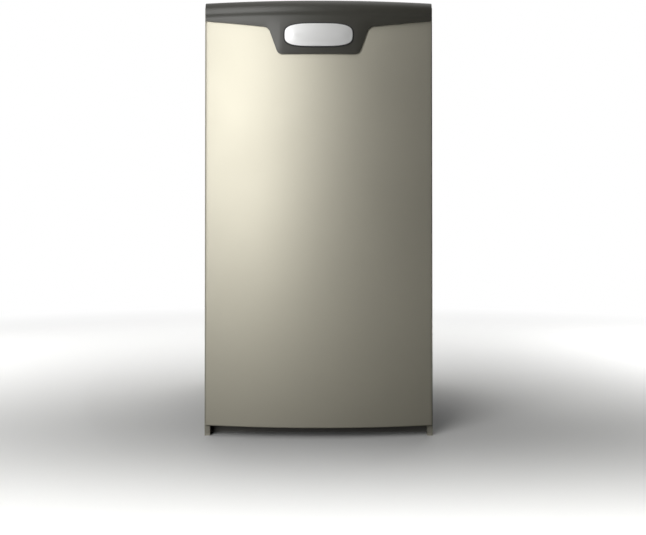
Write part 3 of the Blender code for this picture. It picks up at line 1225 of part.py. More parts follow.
# The whole furnace
def build():
    for old in list(bpy.data.objects):
        bpy.data.objects.remove(old)

    champagne = material("champagne_paint", (0.42, 0.40, 0.33), 0.38, 0.35)
    header_brown = material("dark_header", (0.052, 0.050, 0.043), 0.45)
    silver = material("silver_badge", (0.60, 0.60, 0.58), 0.35, 0.9)
    galvanised = material("galvanised_steel", (0.48, 0.49, 0.49), 0.42, 0.9)
    dark_steel = material("dark_steel", (0.035, 0.035, 0.033), 0.55, 0.3)
    aluminised = material("aluminised_steel", (0.50, 0.49, 0.46), 0.38, 0.9)
    cast_alloy = material("cast_alloy", (0.45, 0.46, 0.47), 0.5, 0.8)
    fin_stock = material("fin_aluminium", (0.62, 0.63, 0.64), 0.35, 0.9)
    black_iron = material("black_iron", (0.03, 0.03, 0.03), 0.55, 0.5)
    motor_steel = material("motor_steel", (0.26, 0.26, 0.26), 0.3, 0.95)
    white_plastic = material("white_pipe", (0.80, 0.80, 0.78), 0.4)
    black_plastic = material("black_plastic", (0.022, 0.022, 0.023), 0.42)
    red_plastic = material("red_plastic", (0.50, 0.03, 0.02), 0.4)
    rubber = material("hose_rubber", (0.03, 0.03, 0.03), 0.6)
    foil_board = material("foil_board", (0.62, 0.62, 0.60), 0.35, 0.5)
    black_felt = material("black_felt", (0.03, 0.03, 0.03), 0.95)
    ceramic = material("ceramic", (0.80, 0.78, 0.72), 0.5)
    glass = material("sight_glass", (0.55, 0.62, 0.62), 0.05)
    board_green = material("board_green", (0.03, 0.16, 0.07), 0.45)
    motor_grey = material("motor_grey", (0.12, 0.12, 0.125), 0.5, 0.5)

    for side in (-1, 1):
        side_panel(side, champagne)
    back_panel(galvanised)
    top_cap(galvanised)
    base_pan(galvanised)
    kick_rail(dark_steel)
    blower_deck(galvanised)
    vestibule_panel(galvanised)
    blower_access_panel(galvanised)
    for side in (-1, 1):
        thumb_knob(side, black_plastic)

    door_panel(champagne)
    door_insulation(black_felt)
    door_striker(galvanised)
    header_trim(header_brown)
    badge(silver)

    burner_box(aluminised)
    burner_box_cover(galvanised)
    sight_glass(glass)
    burner_assembly(aluminised)
    side_probe("igniter", -1, 0.004, ceramic)
    side_probe("flame_sensor", 1, 0.0016, ceramic)
    gas_manifold(black_iron)
    gas_valve(cast_alloy)
    gas_valve_lever(red_plastic)
    gas_supply_pipe(black_iron)
    rollout_switch(black_plastic)
    rollout_reset(red_plastic)
    through_cap_pipe("intake_pipe", INTAKE_X, INTAKE_Y, BOX_TOP + SEAT, white_plastic)

    for number, x in enumerate(burner_places(), start=1):
        primary_cell(number, x, aluminised)
    condensing_coil(fin_stock)
    coupling_box(aluminised)
    for side in (-1, 1):
        insulation_board(side, foil_board)

    header_box(black_plastic)
    inducer_housing(black_plastic)
    inducer_motor(motor_grey)
    inducer_rotor(dark_steel)
    through_cap_pipe("vent_pipe", VENT_X, PIPE_Y, NECK_TOP + SEAT, white_plastic)
    pressure_switch(black_plastic)
    pressure_hose(rubber)
    condensate_trap(black_plastic)
    drain_hose(rubber)

    blower_wrap(galvanised)
    for side in (-1, 1):
        blower_side(side, galvanised)
    blower_wheel(galvanised)
    wheel_disc(galvanised)
    blower_motor(motor_grey)
    motor_shaft(motor_steel)
    motor_mount(galvanised)
    control_box(galvanised)
    control_board(board_green)
    transformer(dark_steel)
    junction_box(galvanised)
    interlock_switch(black_plastic)
    interlock_plunger(white_plastic)


build()
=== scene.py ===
"""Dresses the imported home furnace: its paint, mouldings and sheet metal, and the workings behind its door."""

import json
import logging
import math
from collections.abc import Callable, Iterable, Sequence
from dataclasses import dataclass
from enum import Enum, IntEnum
from functools import partial

import bpy
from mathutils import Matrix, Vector


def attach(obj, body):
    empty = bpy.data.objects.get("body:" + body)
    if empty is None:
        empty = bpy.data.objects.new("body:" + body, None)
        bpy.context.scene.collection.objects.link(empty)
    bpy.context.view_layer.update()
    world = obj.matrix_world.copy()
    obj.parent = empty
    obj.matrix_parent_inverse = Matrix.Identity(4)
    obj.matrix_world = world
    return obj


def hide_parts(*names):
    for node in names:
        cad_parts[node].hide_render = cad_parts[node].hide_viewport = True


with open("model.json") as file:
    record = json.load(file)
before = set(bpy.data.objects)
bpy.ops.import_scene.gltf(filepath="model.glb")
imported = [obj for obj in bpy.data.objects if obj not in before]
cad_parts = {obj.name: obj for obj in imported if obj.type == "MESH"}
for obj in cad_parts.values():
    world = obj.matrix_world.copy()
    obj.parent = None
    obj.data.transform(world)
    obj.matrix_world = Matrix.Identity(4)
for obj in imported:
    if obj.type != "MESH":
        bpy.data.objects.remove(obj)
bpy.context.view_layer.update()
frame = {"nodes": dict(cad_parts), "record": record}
log = logging.getLogger("furnace")

Point = tuple[float, float, float]
Flat = tuple[float, float]
Colour = tuple[float, float, float]
Test = Callable[[Vector, Vector], bool]

ORIGIN = (0.0, 0.0, 0.0)
WHITE = (1.0, 1.0, 1.0, 1.0)
# Slack for telling whether two places are the same, in metres
TINY = 1e-5
# Points nearer to each other than this become one
WELD = 1e-6
# How near a part of a mesh lies to the place where a test looks for it
NEAR = 0.001


class Axis(Enum):
    """An axis that a mesh is turned about."""

    X = (1.0, 0.0, 0.0)
    Y = (0.0, 1.0, 0.0)
    Z = (0.0, 0.0, 1.0)


class Side(IntEnum):
    """A side of the furnace, as the sign of its x."""

    LEFT = -1
    RIGHT = 1

    @property
    def word(self) -> str:
        """The side as the pieces' names have it."""
        return self.name.lower()


class Pick(Enum):
    """What a test picks out of a mesh."""

    FACE = "FACE"
    EDGE = "EDGE"


class Grain(Enum):
    """The fine surface texture of a finish."""

    ORANGE_PEEL = "orange_peel"
    SPANGLE = "spangle"
    BRUSHED = "brushed"
    CAST = "cast"
    MOULDED = "moulded"
    FIBRE = "fibre"
    CRINKLE = "crinkle"


# Node trees
class Graph:
    """A node tree with short calls for the nodes that the finishes share."""

    def __init__(self, tree: bpy.types.NodeTree) -> None:
        """Takes the tree that the nodes go into."""
        self.tree = tree

    def node(self, kind: str, inputs: dict | None = None, **settings: object) -> bpy.types.Node:
        """Adds one node.

        Args:
            kind: the node's type name, without its ShaderNode prefix.
            inputs: a number, a colour or another node's output for each input, by its name or place.
            settings: attributes to set on it first, such as operation or data_type.

        Returns:
            The new node.
        """
        made = self.tree.nodes.new(kind if kind.startswith("NodeGroup") else f"ShaderNode{kind}")
        for key, value in settings.items():
            setattr(made, key, value)
        for key, value in (inputs or {}).items():
            self.feed(made.inputs[key], value)
        return made

    def feed(self, socket: bpy.types.NodeSocket, value: object) -> None:
        """Gives a socket a number, a colour or another node's output.

        Args:
            socket: the socket.
            value: what it gets.
        """
        if isinstance(value, bpy.types.NodeSocket):
            self.tree.links.new(value, socket)
        else:
            socket.default_value = value

    def maths(self, operation: str, first: object, second: object = 0.0) -> bpy.types.NodeSocket:
        """One arithmetic step on two numbers or outputs."""
        return self.node("Math", {0: first, 1: second}, operation=operation).outputs[0]

    def noise(self, vector: object, scale: object, detail: float = 2.0) -> bpy.types.NodeSocket:
        """Cloudy noise from 0 to 1."""
        return self.node("TexNoise", {"Vector": vector, "Scale": scale, "Detail": detail}).outputs["Fac"]

    def cells(self, vector: object, scale: object, feature: str = "F1") -> bpy.types.Node:
        """A cell pattern, such as zinc crystals or foil facets."""
        return self.node("TexVoronoi", {"Vector": vector, "Scale": scale}, feature=feature)

    def stretched(self, vector: object, factors: Point) -> bpy.types.NodeSocket:
        """Coordinates drawn out along an axis."""
        return self.node("Mapping", {"Vector": vector, "Scale": factors}).outputs["Vector"]

    def blended(self, share: object, first: object, second: object) -> bpy.types.NodeSocket:
        """A colour between two others."""
        return self.node("Mix", {0: share, 6: first, 7: second}, data_type="RGBA").outputs[2]

    def eased(self, value: object, low: float, high: float) -> bpy.types.NodeSocket:
        """A smooth step from 0 at low to 1 at high."""
        return self.node("MapRange", {"Value": value, "From Min": low, "From Max": high},
                         interpolation_type="SMOOTHSTEP").outputs["Result"]

    def place(self) -> bpy.types.NodeSocket:
        """The object's own coordinates."""
        return self.node("TexCoord").outputs["Object"]

    def seen(self) -> bpy.types.NodeSocket:
        """Tells what the camera sees, straight or by way of a mirror or glass, from other light.

        Returns:
            1 for such a ray, otherwise 0.
        """
        path = self.node("LightPath").outputs
        clear = self.maths("MAXIMUM", path["Is Glossy Ray"], path["Is Transmission Ray"])
        return self.maths("MAXIMUM", path["Is Camera Ray"], clear)


def effect_group(name: str, inputs: dict[str, float], outputs: Sequence[str]) -> tuple[Graph, dict, dict]:
    """Starts a shared effect as a node group with named value sockets.

    Args:
        name: the group's name.
        inputs: each input's name and default.
        outputs: the outputs' names.

    Returns:
        The group's graph, its inputs by name and its output sockets by name.
    """
    tree = bpy.data.node_groups.new(name, "ShaderNodeTree")
    for key, value in inputs.items():
        tree.interface.new_socket(key, in_out="INPUT", socket_type="NodeSocketFloat").default_value = value
    for key in outputs:
        tree.interface.new_socket(key, in_out="OUTPUT", socket_type="NodeSocketFloat")
    graph = Graph(tree)
    source, sink = graph.node("NodeGroupInput"), graph.node("NodeGroupOutput")
    return graph, {key: source.outputs[key] for key in inputs}, {key: sink.inputs[key] for key in outputs}


def grain_group(grain: Grain) -> bpy.types.NodeTree:
    """The node group of one surface texture.

    Args:
        grain: which texture.

    Returns:
        A group with a Scale input and Height, Tone and Gloss outputs, each from 0 to 1.
    """
    graph, given, wanted = effect_group(grain.value, {"Scale": 1.0}, ("Height", "Tone", "Gloss"))
    place = graph.place()

    def sized(size: float) -> bpy.types.NodeSocket:
        """A texture's size, in repeats per metre, that follows the finish's scale."""
        return graph.maths("MULTIPLY", given["Scale"], size)

    def cloud(size: float, detail: float = 2.0) -> bpy.types.NodeSocket:
        """Noise of one size all over the surface."""
        return graph.noise(place, sized(size), detail)

    broad = cloud(7.0, detail=3.0)
    if grain is Grain.ORANGE_PEEL:
        height, tone, gloss = cloud(420.0, detail=1.5), cloud(2600.0, detail=0.5), broad
    elif grain is Grain.SPANGLE:
        split = graph.node("SeparateColor", {0: graph.cells(place, sized(95.0)).outputs["Color"]})
        height, tone, gloss = cloud(60.0), split.outputs[0], split.outputs[1]
    elif grain is Grain.BRUSHED:
        height = graph.noise(graph.stretched(place, (1.0, 0.03, 0.03)), sized(1500.0), detail=3.0)
        tone, gloss = height, broad
    elif grain is Grain.CAST:
        height, tone, gloss = cloud(700.0, detail=4.0), broad, cloud(90.0)
    elif grain is Grain.MOULDED:
        height, tone, gloss = cloud(1300.0), broad, cloud(30.0)
    elif grain is Grain.FIBRE:
        strands = graph.stretched(place, (1.0, 1.0, 3.5))
        height = graph.noise(strands, sized(900.0), detail=5.0)
        tone, gloss = cloud(160.0, detail=3.0), broad
    else:
        facets = graph.cells(place, sized(70.0), "DISTANCE_TO_EDGE")
        height = graph.maths("ADD", facets.outputs["Distance"], graph.maths("MULTIPLY", broad, 0.4))
        tone, gloss = broad, cloud(45.0)
    for key, value in (("Height", height), ("Tone", tone), ("Gloss", gloss)):
        graph.feed(wanted[key], value)
    return graph.tree


def dust_group() -> bpy.types.NodeTree:
    """Light dust that settles on faces that look up, in drifts.

    Returns:
        A group with an Amount input and a Mask output.
    """
    graph, given, wanted = effect_group("settled_dust", {"Amount": 0.5}, ("Mask",))
    up = graph.node("SeparateXYZ", {0: graph.node("NewGeometry").outputs["Normal"]})
    facing = graph.eased(up.outputs["Z"], low=0.5, high=0.98)
    drifts = graph.eased(graph.noise(graph.place(), scale=14.0, detail=4.0), low=0.35, high=0.75)
    settled = graph.maths("MULTIPLY", facing, drifts)
    graph.feed(wanted["Mask"], graph.maths("MULTIPLY", settled, given["Amount"]))
    return graph.tree


def handling_group() -> bpy.types.NodeTree:
    """Faint smears and scuffs from handling, in patches.

    Returns:
        A group with an Amount input and a Mask output.
    """
    graph, given, wanted = effect_group("handling", {"Amount": 0.3}, ("Mask",))
    place = graph.place()
    streaks = graph.noise(graph.stretched(place, (1.0, 1.0, 0.35)), scale=26.0, detail=5.0)
    clouds = graph.noise(place, scale=4.5)
    streaked, clouded = graph.eased(streaks, low=0.48, high=0.8), graph.eased(clouds, low=0.35, high=0.8)
    worn = graph.maths("MULTIPLY", streaked, clouded)
    graph.feed(wanted["Mask"], graph.maths("MULTIPLY", worn, given["Amount"]))
    return graph.tree


def shared_group(name: str, make: Callable[[], bpy.types.NodeTree]) -> bpy.types.NodeTree:
    """Builds a group the first time that it is asked for, and gives it again after that."""
    return bpy.data.node_groups.get(name) or make()


def new_material(name: str) -> tuple[bpy.types.Material, Graph, bpy.types.Node]:
    """Starts a node material.

    Args:
        name: its name.

    Returns:
        The material, its graph and its Principled shader.
    """
    made = bpy.data.materials.new(name)
    made.use_nodes = True
    return made, Graph(made.node_tree), made.node_tree.nodes["Principled BSDF"]


# Finishes, and how dust and smears change them
DUST_COLOUR = (0.33, 0.31, 0.27, 1.0)
SMEAR_SHADE = 0.8
SMEAR_SHARE = 0.5
WORN_ROUGHNESS = 0.25
COAT_ROUGHNESS = 0.2


@dataclass(frozen=True)
class Finish:
    """How one surface looks.

    Slot is the record's material slot, which names the material. The colour is linear. A larger scale is a
    finer grain, relief is its depth in metres, and tone and gloss are how far colour and roughness swing with
    it. Dust lies on faces that look up, handling is smearing, and coat and see_through are the weights of a
    clear coat and of clear glass.
    """

    slot: str
    colour: Colour
    roughness: float
    metallic: float = 0.0
    grain: Grain = Grain.MOULDED
    scale: float = 1.0
    relief: float = 0.00002
    tone: float = 0.06
    gloss: float = 0.08
    dust: float = 0.25
    handling: float = 0.25
    coat: float = 0.0
    see_through: float = 0.0

    def shade(self, factor: float) -> tuple[float, float, float, float]:
        """The base colour made lighter or darker, kept under white."""
        return (*(min(channel * factor, 0.95) for channel in self.colour), 1.0)

    def material(self, name: str = "") -> bpy.types.Material:
        """Builds the material, or gives it again if it is there.

        Args:
            name: a name of its own, where it differs from the slot's.

        Returns:
            The material.
        """
        name = f"{name or self.slot}_finish"
        if name in bpy.data.materials:
            return bpy.data.materials[name]
        made, graph, shader = new_material(name)

        def effect(kind: str, make: Callable[[], bpy.types.NodeTree], values: dict) -> bpy.types.Node:
            """Places a shared effect."""
            return graph.node("Group", values, node_tree=shared_group(kind, make))

        texture = effect(self.grain.value, lambda: grain_group(self.grain), {"Scale": self.scale})
        dusty = effect("settled_dust", dust_group, {"Amount": self.dust}).outputs["Mask"]
        smeared = effect("handling", handling_group, {"Amount": self.handling}).outputs["Mask"]
        dark, light = self.shade(1.0 - self.tone), self.shade(1.0 + self.tone)
        bare = graph.blended(texture.outputs["Tone"], dark, light)
        worn = graph.blended(graph.maths("MULTIPLY", smeared, SMEAR_SHARE), bare, self.shade(SMEAR_SHADE))
        centred = graph.maths("SUBTRACT", texture.outputs["Gloss"], 0.5)
        swing = graph.maths("MULTIPLY", centred, 2.0 * self.gloss)
        added = graph.maths("MULTIPLY", graph.maths("MAXIMUM", dusty, smeared), WORN_ROUGHNESS)
        bump = graph.node("Bump", {"Distance": self.relief, "Height": texture.outputs["Height"]})
        for socket, value in (
                ("Base Color", graph.blended(dusty, worn, DUST_COLOUR)),
                ("Roughness", graph.maths("ADD", graph.maths("ADD", swing, self.roughness), added)),
                ("Normal", bump.outputs["Normal"]),
                ("Metallic", self.metallic),
                ("Coat Weight", self.coat),
                ("Coat Roughness", COAT_ROUGHNESS),
                ("Transmission Weight", self.see_through)):
            graph.feed(shader.inputs[socket], value)
        return made


CHAMPAGNE = Finish("champagne_paint", (0.590, 0.562, 0.465), 0.51, metallic=0.78, grain=Grain.ORANGE_PEEL,
                   relief=0.000012, tone=0.03, gloss=0.03, dust=0.12, handling=0.10)
# Side panels: a darker copy of the door's champagne paint, painted shade that makes their front flanges and
# feet read darker than the door
SHADED_CABINET_PAINT = Finish("champagne_paint", (0.340, 0.324, 0.268), 0.50, metallic=0.60,
                       grain=Grain.ORANGE_PEEL, relief=0.000014, tone=0.04, gloss=0.04, handling=0.15)
# Kick rail: a lighter copy of the dark steel, painted light that makes the rail read lighter in its shaded
# recess
LIT_KICK_PAINT = Finish("dark_steel", (0.140, 0.135, 0.122), 0.50, metallic=0.20, grain=Grain.ORANGE_PEEL,
                    scale=1.2, tone=0.05, gloss=0.05, dust=0.35, handling=0.30)
HEADER_BROWN = Finish("dark_header", (0.058, 0.056, 0.046), 0.40, metallic=0.05, scale=0.8, relief=0.000012,
                      tone=0.04, gloss=0.04, dust=0.10, handling=0.08, coat=0.12)
SILVER = Finish("silver_badge", (0.84, 0.84, 0.83), 0.38, metallic=0.35, grain=Grain.ORANGE_PEEL, scale=1.4,
                relief=0.000008, tone=0.02, gloss=0.03, dust=0.05, handling=0.05)
GALVANISED = Finish("galvanised_steel", (0.56, 0.57, 0.58), 0.44, metallic=0.85, grain=Grain.SPANGLE,
                    scale=1.6, tone=0.08, gloss=0.10, dust=0.35, handling=0.35)
DARK_STEEL = Finish("dark_steel", (0.040, 0.039, 0.036), 0.48, metallic=0.25, grain=Grain.ORANGE_PEEL,
                    scale=1.2, gloss=0.05, dust=0.35, handling=0.30)
ALUMINISED = Finish("aluminised_steel", (0.52, 0.50, 0.46), 0.45, metallic=0.85, grain=Grain.CAST,
                    scale=0.6, tone=0.12, gloss=0.12, dust=0.30, handling=0.40)
ZINC = Finish("galvanised_steel", (0.34, 0.345, 0.35), 0.32, metallic=0.90, grain=Grain.BRUSHED,
              relief=0.00001, tone=0.08, dust=0.20, handling=0.20)
CAST_ALLOY = Finish("cast_alloy", (0.48, 0.49, 0.50), 0.50, metallic=0.80, grain=Grain.CAST, relief=0.00008,
                    tone=0.08, gloss=0.10)
FIN_STOCK = Finish("fin_aluminium", (0.70, 0.71, 0.72), 0.32, metallic=0.92, grain=Grain.BRUSHED,
                   relief=0.00001, tone=0.08, gloss=0.10, handling=0.1)
BLACK_IRON = Finish("black_iron", (0.030, 0.030, 0.031), 0.46, metallic=0.45, grain=Grain.CAST, scale=1.4,
                    relief=0.00006, tone=0.15, gloss=0.12, dust=0.30, handling=0.30)
MOTOR_STEEL = Finish("motor_steel", (0.50, 0.50, 0.50), 0.28, metallic=0.95, grain=Grain.BRUSHED, scale=1.6,
                     relief=0.00001)
MOTOR_GREY = Finish("motor_grey", (0.075, 0.076, 0.080), 0.45, metallic=0.30, grain=Grain.ORANGE_PEEL,
                    scale=1.1, relief=0.00003, gloss=0.06)
WHITE_PIPE = Finish("white_pipe", (0.74, 0.74, 0.71), 0.36, scale=0.7, relief=0.00001, tone=0.02,
                    gloss=0.05, dust=0.20, handling=0.2)
BLACK_PLASTIC = Finish("black_plastic", (0.020, 0.020, 0.021), 0.42, relief=0.00003, tone=0.10, dust=0.30,
                       handling=0.20)
RED_PLASTIC = Finish("red_plastic", (0.42, 0.020, 0.014), 0.38, tone=0.05, gloss=0.06)
WHITE_PLASTIC = Finish("white_plastic", (0.72, 0.72, 0.69), 0.40, tone=0.03, gloss=0.05)
HOSE_RUBBER = Finish("hose_rubber", (0.022, 0.022, 0.022), 0.60, relief=0.00004, tone=0.12)
FOIL = Finish("foil_board", (0.70, 0.70, 0.69), 0.40, metallic=0.80, grain=Grain.CRINKLE, relief=0.0003,
              tone=0.05, gloss=0.12, dust=0.10, handling=0.20)
FELT = Finish("black_felt", (0.022, 0.022, 0.023), 0.95, grain=Grain.FIBRE, relief=0.0006, tone=0.30,
              gloss=0.03, dust=0.20, handling=0.0)
CERAMIC = Finish("ceramic", (0.72, 0.70, 0.64), 0.55, grain=Grain.CAST, scale=2.0, relief=0.00003,
                 tone=0.04, gloss=0.06)
CLEAR_GLASS = Finish("sight_glass", (0.80, 0.84, 0.84), 0.06, scale=0.2, relief=0.000004, tone=0.0,
                     gloss=0.01, dust=0.0, handling=0.0, see_through=0.9)
BOARD_GREEN = Finish("board_green", (0.016, 0.105, 0.045), 0.40, scale=1.5, relief=0.00003, tone=0.15)
FINISHES = {each.slot: each for each in (
    CHAMPAGNE, HEADER_BROWN, SILVER, GALVANISED, DARK_STEEL, ALUMINISED, CAST_ALLOY, FIN_STOCK, BLACK_IRON,
    MOTOR_STEEL, MOTOR_GREY, WHITE_PIPE, BLACK_PLASTIC, RED_PLASTIC, WHITE_PLASTIC, HOSE_RUBBER, FOIL,
    FELT, CERAMIC, CLEAR_GLASS, BOARD_GREEN)}
# Per-node copies that paint shade on the side panels and light on the kick rail
LIGHT_AND_SHADE_FINISHES = {"left_side_panel": SHADED_CABINET_PAINT, "right_side_panel": SHADED_CABINET_PAINT, "kick_rail": LIT_KICK_PAINT}


def dress_packed_nodes() -> None:
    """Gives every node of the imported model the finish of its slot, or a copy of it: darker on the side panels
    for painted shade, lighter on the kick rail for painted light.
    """
    slots = {entry["node"]: entry["material_slot"] for entry in frame["record"]["subparts"]}
    for name, node in frame["nodes"].items():
        own = LIGHT_AND_SHADE_FINISHES.get(name)
        material = own.material(f"{name}_paint") if own else FINISHES[slots[name]].material()
        for place in node.material_slots:
            place.material = material


# The bench: edit-mode steps as a modeller takes them
SELECT_ALL = partial(bpy.ops.mesh.select_all, action="SELECT")
OUTWARDS = (SELECT_ALL, partial(bpy.ops.mesh.normals_make_consistent, inside=False))


class Work:
    """One mesh piece on the bench, with a short call for each step that shapes it."""

    def __init__(self, obj: bpy.types.Object, name: str) -> None:
        """Takes the mesh object and names it."""
        self.obj = obj
        obj.name = obj.data.name = name

    @classmethod
    def box(cls, name: str, corner: Point, opposite: Point) -> "Work":
        """Starts from a cube at its size and place.

        Args:
            name: the piece's name.
            corner: one of its corners.
            opposite: the one farthest from it.

        Returns:
            The piece.
        """
        pairs = list(zip(corner, opposite))
        bpy.ops.object.select_all(action="DESELECT")
        bpy.ops.mesh.primitive_cube_add(size=1.0, location=[(a + b) / 2 for a, b in pairs],
                                        scale=[abs(b - a) for a, b in pairs])
        bpy.ops.object.transform_apply(location=True, rotation=True, scale=True)
        return cls(bpy.context.object, name)

    @classmethod
    def rod(cls, name: str, start: Point, end: Point, radius: float, sides: int = 24) -> "Work":
        """Starts from a cylinder between two points.

        Args:
            name: the piece's name.
            start: the middle of one end.
            end: the middle of the other.
            radius: its radius.
            sides: how many sides it has.

        Returns:
            The piece.
        """
        run = Vector(end) - Vector(start)
        bpy.ops.object.select_all(action="DESELECT")
        bpy.ops.mesh.primitive_cylinder_add(vertices=sides, radius=radius, depth=run.length,
                                            location=(Vector(start) + Vector(end)) / 2,
                                            rotation=run.to_track_quat("Z", "Y").to_euler())
        bpy.ops.object.transform_apply(location=True, rotation=True, scale=True)
        return cls(bpy.context.object, name)

    @classmethod
    def line(cls, name: str, points: Sequence[Point], closed: bool = False, filled: bool = False) -> "Work":
        """Starts from a plane merged to one vertex, which is drawn out point by point.

        Args:
            name: the piece's name.
            points: where the line goes.
            closed: whether its ends are joined.
            filled: whether the closed line becomes a face.

        Returns:
            The piece.
        """
        bpy.ops.object.select_all(action="DESELECT")
        bpy.ops.mesh.primitive_plane_add(size=0.01, location=ORIGIN)
        bpy.ops.object.mode_set(mode="EDIT")
        bpy.ops.mesh.select_mode(type="VERT")
        bpy.ops.mesh.select_all(action="SELECT")
        bpy.ops.mesh.merge(type="CENTER")
        bpy.ops.transform.translate(value=points[0])
        route = [*points, points[0]] if closed else list(points)
        for before, after in zip(route, route[1:]):
            bpy.ops.mesh.extrude_region_move(
                TRANSFORM_OT_translate={"value": [b - a for a, b in zip(before, after)]})
        bpy.ops.mesh.select_all(action="SELECT")
        if closed:
            bpy.ops.mesh.remove_doubles(threshold=WELD)
        if filled:
            bpy.ops.mesh.edge_face_add()
        bpy.ops.object.mode_set(mode="OBJECT")
        return cls(bpy.context.object, name)

    def pick(self) -> None:
        """Selects this piece alone."""
        bpy.ops.object.select_all(action="DESELECT")
        self.obj.select_set(True)
        bpy.context.view_layer.objects.active = self.obj

    def copy(self, name: str, offset: Point = ORIGIN) -> "Work":
        """A copy with a mesh of its own.

        Args:
            name: the copy's name.
            offset: how far it is moved.

        Returns:
            The copy.
        """
        self.pick()
        bpy.ops.object.duplicate(linked=False)
        return Work(bpy.context.object, name).move(offset)

    def edit(self, *steps: Callable[[], object], everything: bool = True) -> "Work":
        """Runs steps in edit mode.

        Args:
            steps: the operators, each with its settings.
            everything: whether all is selected first, or nothing.

        Returns:
            The piece.
        """
        self.pick()
        bpy.ops.object.mode_set(mode="EDIT")
        bpy.ops.mesh.select_mode(type="VERT")
        bpy.ops.mesh.select_all(action="SELECT" if everything else "DESELECT")
        for step in steps:
            step()
        bpy.ops.object.mode_set(mode="OBJECT")
        return self

    def move(self, offset: Point) -> "Work":
        """Moves the whole mesh."""
        return self.edit(partial(bpy.ops.transform.translate, value=offset))

    def resize(self, factor: float) -> "Work":
        """Makes the whole mesh larger or smaller about the origin."""
        return self.edit(partial(bpy.ops.transform.resize, value=(factor,) * 3, center_override=ORIGIN))

    def rotate(self, degrees: float, axis: Axis, centre: Point) -> "Work":
        """Turns the mesh about an axis through centre, by the right-hand rule."""
        return self.edit(partial(bpy.ops.transform.rotate, value=-math.radians(degrees),
                                 orient_axis=axis.name, center_override=centre))

    def push(self, offset: Point) -> "Work":
        """Extrudes the whole of a line or face by an offset."""
        return self.edit(partial(bpy.ops.mesh.extrude_region_move, TRANSFORM_OT_translate={"value": offset}),
                         *OUTWARDS)

    def turn(self, centre: Point, axis: Axis, degrees: float, steps: int) -> "Work":
        """Spins the whole of a line about an axis through centre, where 360 degrees close the form."""
        spin = partial(bpy.ops.mesh.spin, steps=steps, angle=-math.radians(degrees), center=centre,
                       axis=axis.value)
        return self.edit(spin, SELECT_ALL, partial(bpy.ops.mesh.remove_doubles, threshold=WELD), *OUTWARDS)

    def chosen(self, wanted: Test, kind: Pick, step: Callable[[], object]) -> "Work":
        """Runs an edit-mode step on the faces or edges that pass a test, if there are any.

        Args:
            wanted: a test of a face's middle and normal, or of an edge's middle and direction.
            kind: whether faces or edges are tested.
            step: the operator, with its settings.

        Returns:
            The piece.
        """
        self.edit(partial(bpy.ops.mesh.select_mode, type=kind.value), everything=False)
        mesh, found = self.obj.data, 0
        for part in mesh.polygons if kind is Pick.FACE else mesh.edges:
            if kind is Pick.FACE:
                middle, way = part.center, part.normal
            else:
                a, b = (mesh.vertices[i].co for i in part.vertices)
                middle, way = (a + b) / 2, (b - a).normalized()
            part.select = wanted(middle, way)
            found += part.select
        bpy.ops.object.mode_set(mode="EDIT")
        if found:
            step()
        bpy.ops.object.mode_set(mode="OBJECT")
        return self

    def inset(self, wanted: Test, width: float, depth: float = 0.0) -> "Work":
        """Insets the chosen faces, and sinks them, or raises them for a depth below 0."""
        return self.chosen(wanted, Pick.FACE, partial(bpy.ops.mesh.inset, thickness=width, depth=-depth,
                                                      use_even_offset=True))

    def delete(self, wanted: Test) -> "Work":
        """Deletes the chosen faces."""
        return self.chosen(wanted, Pick.FACE, partial(bpy.ops.mesh.delete, type="FACE"))

    def round_edges(self, wanted: Test, radius: float, segments: int = 3) -> "Work":
        """Bevels the chosen edges."""
        return self.chosen(wanted, Pick.EDGE, partial(bpy.ops.mesh.bevel, offset=radius, segments=segments,
                                                      profile=0.5, affect="EDGES"))

    def apply(self, kind: str, **settings: object) -> "Work":
        """Adds a modifier with its settings and applies it.

        Args:
            kind: the modifier's type.
            settings: its attributes.

        Returns:
            The piece.
        """
        self.pick()
        step = self.obj.modifiers.new(kind.title(), kind)
        for key, value in settings.items():
            setattr(step, key, value)
        bpy.ops.object.modifier_apply(modifier=step.name)
        return self

    def wall(self, thickness: float, offset: float = -1.0) -> "Work":
        """Gives a surface a wall, inwards unless offset says otherwise."""
        return self.apply("SOLIDIFY", thickness=thickness, offset=offset, use_even_offset=True)

    def soften(self, radius: float, segments: int = 2, angle: float = 35.0) -> "Work":
        """Bevels every edge sharper than an angle."""
        return self.apply("BEVEL", width=radius, segments=segments, limit_method="ANGLE",
                          angle_limit=math.radians(angle), use_clamp_overlap=True, harden_normals=False)

    def carve(self, *cutters: "Work") -> "Work":
        """Cuts other pieces out of this one, and uses them up.

        Args:
            cutters: the pieces.

        Returns:
            The piece.
        """
        for cutter in cutters:
            self.apply("BOOLEAN", object=cutter.obj, operation="DIFFERENCE", solver="EXACT")
            mesh = cutter.obj.data
            bpy.data.objects.remove(cutter.obj)
            bpy.data.meshes.remove(mesh)
        return self

    def join(self, *others: "Work") -> "Work":
        """Makes other pieces part of this one, as loose shells.

        Args:
            others: the pieces.

        Returns:
            The piece.
        """
        self.pick()
        for other in others:
            other.obj.select_set(True)
        if others:
            bpy.ops.object.join()
        return self

    def finish(self, finish: Finish, body: str, *replaced: str, sharp: float = 32.0,
               name: str = "") -> "Work":
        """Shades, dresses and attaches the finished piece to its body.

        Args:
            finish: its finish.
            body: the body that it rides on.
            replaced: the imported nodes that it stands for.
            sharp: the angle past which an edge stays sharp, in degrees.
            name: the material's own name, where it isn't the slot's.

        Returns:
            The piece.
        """
        self.pick()
        bpy.ops.object.shade_smooth_by_angle(angle=math.radians(sharp))
        self.obj.data.materials.clear()
        self.obj.data.materials.append(finish.material(name))
        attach(self.obj, body)
        if replaced:
            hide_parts(*replaced)
        log.info("%s: %d faces", self.obj.name, len(self.obj.data.polygons))
        return self


